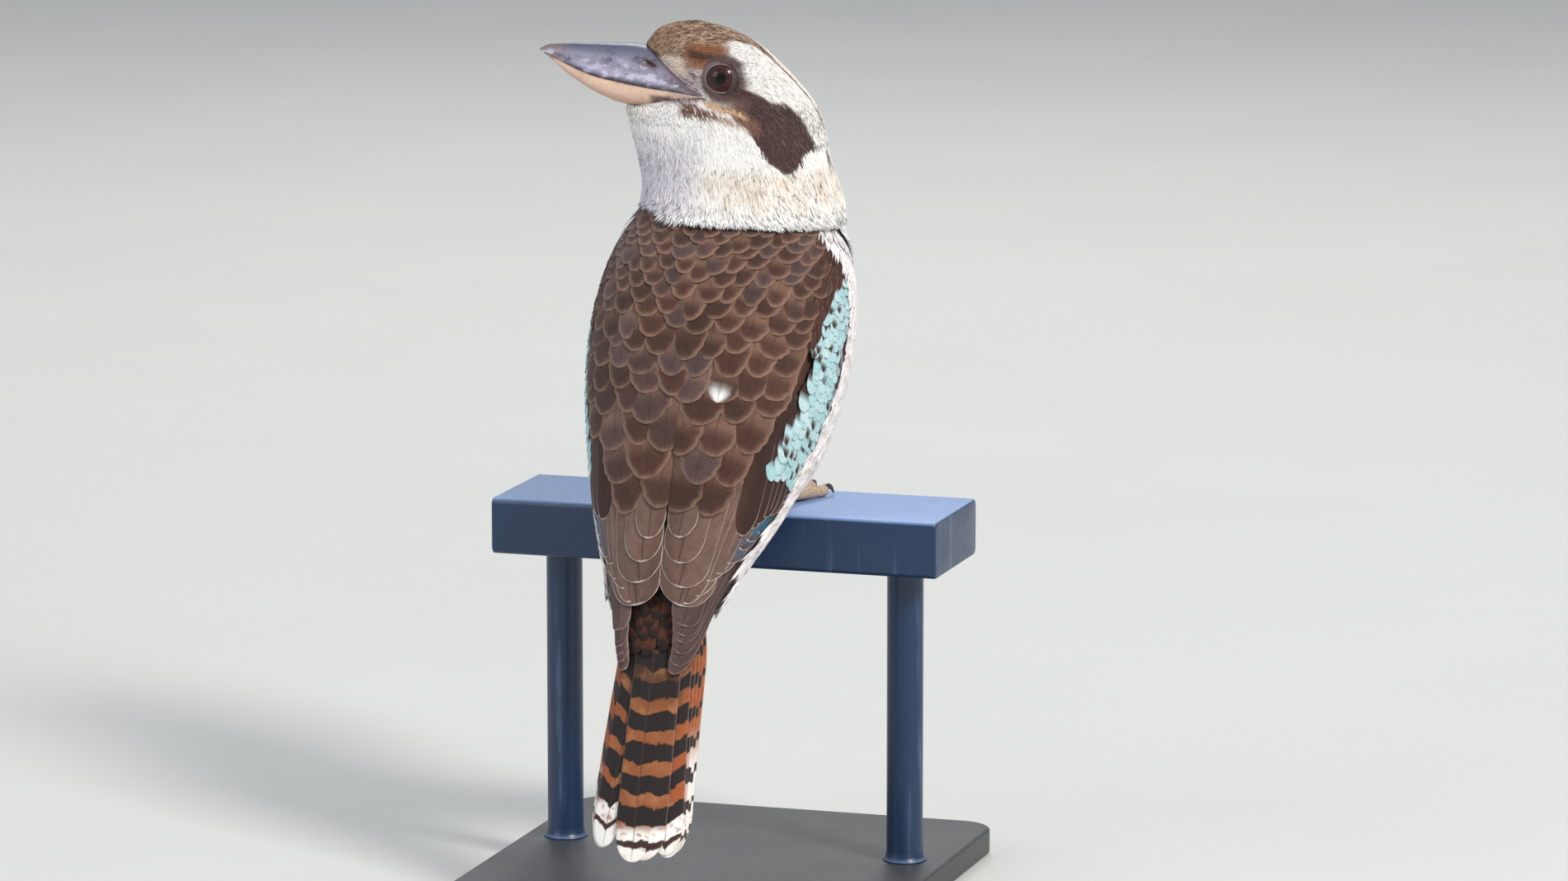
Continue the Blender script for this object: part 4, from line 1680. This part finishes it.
@dataclass
class Foot:
    """A foot on the rail: three toes ahead and one behind, ringed with scutes, each with a claw."""

    toes: tuple[Triple, ...] = ((11, 26, 2.6), (3, 32, 2.8), (-5, 26, 2.6), (2, -11, 2.6))
    middle: tuple[float, float] = (26.0, -11.0)

    def tube(self, path: Array, radii: Array, sides: int, scutes: float) -> tuple[Array, Array]:
        """A closed tube along a smooth path, with rings of scutes as raised bands.

        Args:
            path: points that the middle line passes, from root to tip.
            radii: the radius at each of them.
            sides: points round the tube.
            scutes: how many bands, or 0.

        Returns:
            Its points and faces.
        """
        share = np.linspace(0, 1, len(path))
        rows = 60 if scutes else 20
        u = np.linspace(0, 1, rows)
        line = np.stack([through(*zip(share, path[:, k]))(u) for k in range(3)], -1)
        radius = through(*zip(share, radii))(u)
        along = unit(np.gradient(line, axis=0))
        across = unit(np.cross(along, UP) + 1e-6)
        over = np.cross(across, along)
        turn = turns(sides)
        bands = 0.16 * np.abs(np.sin(np.pi * scutes * u))[:, None] * smooth(np.sin(turn), -0.3, 0.5)[None]
        reach = radius[:, None] + (bands if scutes else 0)
        rings = line[:, None] + reach[..., None] * (np.cos(turn)[None, :, None] * across[:, None]
                                                    + np.sin(turn)[None, :, None] * over[:, None])
        rings[..., 2] = np.maximum(rings[..., 2], TOP + 0.05)
        return Builder.close(rings), Builder.tube(rows, sides)

    def build(self, name: str, side: int, skin: bpy.types.Material, horn: bpy.types.Material) -> None:
        """Makes one foot and its claws."""
        x0, y0 = side * self.middle[0], RAIL_Y + self.middle[1]

        def at(dx: float, dy: float, z: float) -> Triple:
            """A point by its distances out, to the rear and up from the foot's middle on the rail."""
            return x0 + side * dx, y0 + dy, TOP + z

        toes, claws = [], []
        for dx, dy, width in self.toes:
            size = float(np.hypot(dx, dy))
            stations = ((0, 5), (0.2, width + 1.6), (0.4, width + 0.8), (0.6, width + 0.9),
                        (0.8, width + 0.3), (1, width), (1.04, width))
            path = np.array([at(dx * share, dy * share, z) for share, z in stations])
            radii = np.array([3.2, width + 0.3, width - 0.1, width + 0.15, width - 0.2, width - 0.1, 1.2])
            toes.append(self.tube(path, radii, 18, round(size / 1.5)))
            stations = ((0.93, width + 0.7), (1 + 2.5 / size, width + 1.6), (1 + 5 / size, width + 0.7),
                        (1 + 6.8 / size, 0.7))
            path = np.array([at(dx * share, dy * share, z) for share, z in stations])
            claws.append(self.tube(path, np.array([1.8, 1.5, 0.95, 0.25]), 12, 0))
        shank = np.array([at(0, 0, 11), at(0, 0.2, 8), at(0, 0.4, 4)])
        toes.append(self.tube(shank, np.array([2.9, 3.1, 3.4]), 18, 5))
        for label, parts, material, colour in (
                ("toes", toes, skin, tone(196, 172, 140)), ("claws", claws, horn, tone(52, 44, 44))):
            start = np.cumsum([0] + [len(points) for points, _ in parts[:-1]])
            points = np.concatenate([points for points, _ in parts])
            faces = np.concatenate([faces + k for (_, faces), k in zip(parts, start)])
            colours = {"plumage": np.broadcast_to(colour, points.shape)}
            Builder.make(f"{label}_{name}", points, faces, colours, None, None, material, "foot",
                         (f"foot_{name}",) if label == "toes" else ())


@dataclass(frozen=True)
class ToeFinish:
    """Scaly yellowish-pink skin: small cells with grey between them."""

    name: str = "toe_skin"

    def material(self) -> bpy.types.Material:
        """The material."""
        shade = Shade(self.name)
        cells = shade.node("ShaderNodeTexVoronoi", {"feature": "DISTANCE_TO_EDGE"},
                           {"Vector": shade.place(), "Scale": 0.85}, "Distance")
        cloud = shade.noise(shade.place(), 0.3, 4)
        gap = 1 - cells.step(0.02, 0.14)
        colour = shade.mix(shade.colour("plumage"), tone(206, 170, 150), cloud.step(0.4, 0.65) * 0.7)
        colour = shade.mix(colour, tone(116, 98, 84), gap * 0.65)
        return shade.done({"Base Color": colour, "Roughness": 0.6, "Subsurface Weight": 0.05,
                           "Normal": shade.bump(1 - gap, 0.18, 0.8)})


@dataclass
class Stand:
    """The rail's cut length, its two rods and the base plate."""

    rail: Triple = (204.0, 64.0, 25.0)
    edge: float = 2.5
    base: Triple = (196.0, 216.0, 12.0)
    corner: float = 14.0
    spacing: float = 158.0
    rod: float = 8.0

    def slab(self, length: float, profile: Array, ease: float, steps: int = 6) -> tuple[Array, Array]:
        """A profile in the plane across, carried along a length whose two ends are rounded over by ease.

        Args:
            length: along the first axis.
            profile: points round the section, as across and high.
            ease: radius of the ends' edges.
            steps: rings for each rounded end.

        Returns:
            Rings as points, and their faces.
        """
        t = np.linspace(0, np.pi / 2, steps)
        gone, shrunk = ease * (1 - np.cos(t)), ease * (1 - np.sin(t))
        along = np.concatenate([gone - length / 2, [0], length / 2 - gone[::-1]])
        pull = np.concatenate([shrunk, [0], shrunk[::-1]])
        rings = profile[None] - pull[:, None, None] * np.sign(profile)
        x = np.broadcast_to(along[:, None], rings.shape[:2])
        return np.stack([x, rings[..., 0], rings[..., 1]], -1), Builder.tube(*rings.shape[:2])

    def outline(self, width: float, depth: float, corner: float, sides: int = 10) -> Array:
        """Points round a rectangle with rounded corners."""
        turn = np.linspace(0, np.pi / 2, sides)
        parts = []
        for k, (sx, sy) in enumerate(((1, 1), (-1, 1), (-1, -1), (1, -1))):
            angle = turn + k * np.pi / 2
            parts.append(np.stack([sx * (width / 2 - corner) + corner * np.cos(angle),
                                   sy * (depth / 2 - corner) + corner * np.sin(angle)], -1))
        return np.concatenate(parts)

    def build(self, blue: bpy.types.Material, dark: bpy.types.Material) -> None:
        """Makes the rail, the rods with their small welds, and the base."""
        rings, faces = self.slab(self.rail[0], self.outline(self.rail[1], self.rail[2], self.edge), 1.0)
        points = Builder.close(rings) + [0, RAIL_Y, TOP - self.rail[2] / 2]
        Builder.make("rail", points, faces, material=blue, slot="blue_paint", replaces=("perch_rail",))
        rings, faces = self.slab(self.base[2], self.outline(self.base[0], self.base[1], self.corner), 1.6)
        points = Builder.close(rings)[:, [1, 2, 0]] + [0, 0, self.base[2] / 2]
        Builder.make("base_plate", points, faces, material=dark, slot="base_paint", replaces=("stand_base",))
        top = TOP - self.rail[2]
        for name, side in SIDES:
            z = np.array([0, 0.6, 1.4, 2.6, 5, 20, 60, 100, 125, 127.6, 129.6, 131, 132.2, 132.9]) + 12.05
            z = np.minimum(z, top - 0.05)
            fillet = np.array([1.7, 1.3, 0.7, 0.25, 0, 0, 0, 0, 0, 0.0, 0.25, 0.7, 1.3, 1.7])
            turn = turns(48)[None]
            radius = (self.rod + fillet)[:, None]
            rings = np.stack(np.broadcast_arrays(side * self.spacing / 2 + radius * np.cos(turn),
                                                 RAIL_Y + radius * np.sin(turn), z[:, None]), -1)
            Builder.make(f"rod_{name}", Builder.close(rings), Builder.tube(len(z), 48), material=blue,
                         slot="blue_paint", replaces=(f"stand_rod_{name}",))


@dataclass
class Studio:
    """Pale floor, soft lights, and the camera where the photograph was taken from."""

    azimuth: float = 17.4
    elevation: float = 10.0
    distance: float = 3216.0
    lens: float = 167.6
    aim: tuple[float, float] = (22.2, 25.3)
    lamps: tuple[tuple[str, Triple, float, float, Triple], ...] = (
        ("key", (2.6, -1.5, 2.5), 0.8, 118, (1, 0.97, 0.92)),
        ("fill", (-1.9, -2.2, 1.3), 1.6, 26, (0.9, 0.94, 1)),
        ("rim", (-0.6, 2.2, 2.2), 1.2, 30, (1, 1, 1)))

    def camera(self) -> None:
        """Sets the camera by its back, right and up directions, aimed beside and above the rail's middle."""
        a, e = np.radians(self.azimuth), np.radians(self.elevation)
        back = np.array([np.sin(a) * np.cos(e), -np.cos(a) * np.cos(e), np.sin(e)])
        right = np.array([np.cos(a), np.sin(a), 0])
        up = np.cross(back, right)
        spot = (CENTRE + self.aim[0] * right + self.aim[1] * up + self.distance * back) / 1000
        data = bpy.data.cameras.new("camera")
        data.lens, data.sensor_width, data.sensor_fit = self.lens, 36, "HORIZONTAL"
        camera = bpy.data.objects.new("camera", data)
        turn = Matrix((right, up, back)).transposed().to_4x4()
        camera.matrix_world = Matrix.Translation(Vector(spot)) @ turn
        bpy.context.scene.collection.objects.link(camera)
        bpy.context.scene.camera = camera

    def light(self, name: str, place: Triple, size: float, power_watts: float, colour: Triple) -> None:
        """A square soft light that faces the bird, placed and sized in metres."""
        data = bpy.data.lights.new(name, "AREA")
        data.size, data.energy, data.color = size, power_watts, colour
        lamp = bpy.data.objects.new(name, data)
        spot, aim = Vector(place), Vector((0, 0.02, 0.25))
        lamp.location = spot
        lamp.rotation_euler = (aim - spot).to_track_quat("-Z", "Y").to_euler()
        bpy.context.scene.collection.objects.link(lamp)

    def build(self) -> None:
        """Floor, lights and sky."""
        self.camera()
        shade = Shade("pale_floor")
        cloud = shade.noise(shade.place(), 0.004, 3)
        colour = shade.mix(tone(214, 214, 210), tone(206, 207, 205), cloud)
        material = shade.done({"Base Color": colour, "Roughness": 0.85})
        side = np.linspace(-6000, 6000, 25)
        x, y = np.meshgrid(side, side + 3000, indexing="ij")
        rise = 2500 * smooth(y, 6500, 9000)
        i, j = np.meshgrid(np.arange(24), np.arange(24), indexing="ij")
        faces = np.stack([i * 25 + j, (i + 1) * 25 + j, (i + 1) * 25 + j + 1, i * 25 + j + 1], -1)
        mesh = bpy.data.meshes.new("floor")
        mesh.from_pydata((np.stack([x, y, rise], -1).reshape(-1, 3) / 1000).tolist(), [],
                         faces.reshape(-1, 4).tolist())
        mesh.materials.append(material)
        floor = bpy.data.objects.new("floor", mesh)
        bpy.context.scene.collection.objects.link(floor)
        for lamp in self.lamps:
            self.light(*lamp)
        world = bpy.data.worlds.new("studio")
        world.use_nodes = True
        ground = world.node_tree.nodes["Background"]
        ground.inputs["Color"].default_value = (0.86, 0.9, 0.95, 1)
        ground.inputs["Strength"].default_value = 0.5
        bpy.context.scene.world = world
        bpy.context.scene.view_settings.view_transform = "Standard"


def main() -> None:
    """Builds the scene: the studio, then the bird from its skin out, then what it stands on."""
    logging.basicConfig(level=logging.INFO, format="%(name)s: %(message)s")
    Studio().build()
    loose = Plumage("loose_plumage", barbs=2.0, depth=0.04, mottle=0.05, streaks=0.1).material()
    finishes = {
        "quills": Plumage("wing_quills", rim=0.75, soft=0.6, shaft=0.6, barbs=34, pale=0.85).material(),
        "coverts": Plumage("wing_coverts", barbs=9, depth=0.06, mottle=0.1).material(),
        "scales": Plumage(
            "back_scales", rim=1.0, soft=1.0, shaft=0.25, barbs=22, depth=0.12, pale=0.45).material(),
    }
    Skin().build(Plumage("skin_plumage", barbs=60, depth=0.1).material())
    HeadCoat().build(loose)
    BodyCoat().build(loose)
    Wing().build(finishes)
    Tail().build(TailFinish().material(), finishes["coverts"])
    BILL.build({
        "bill_upper": Horn("upper_horn", (206, 200, 222), (58, 60, 80), 0.75).material(),
        "bill_lower": Horn("lower_horn", (240, 218, 198), (168, 120, 100), 0.3, 0.36).material(),
    })
    EYES.build(EyeFinish().material(), Horn("lid_skin", (170, 140, 140), (60, 44, 44), 0.3, 0.5).material())
    skin, horn = ToeFinish().material(), Horn("claw_horn", (90, 80, 78), (24, 20, 20), 0.4, 0.3).material()
    for name, side in SIDES:
        Foot().build(name, side, skin, horn)
    Stand().build(Paint("blue_paint", (5, 42, 78), (140, 168, 216), 0.85).material(),
                  Paint("base_paint", (48, 49, 52), (96, 98, 102), 0.25, 0.55).material())


if __name__ == "__main__":
    main()
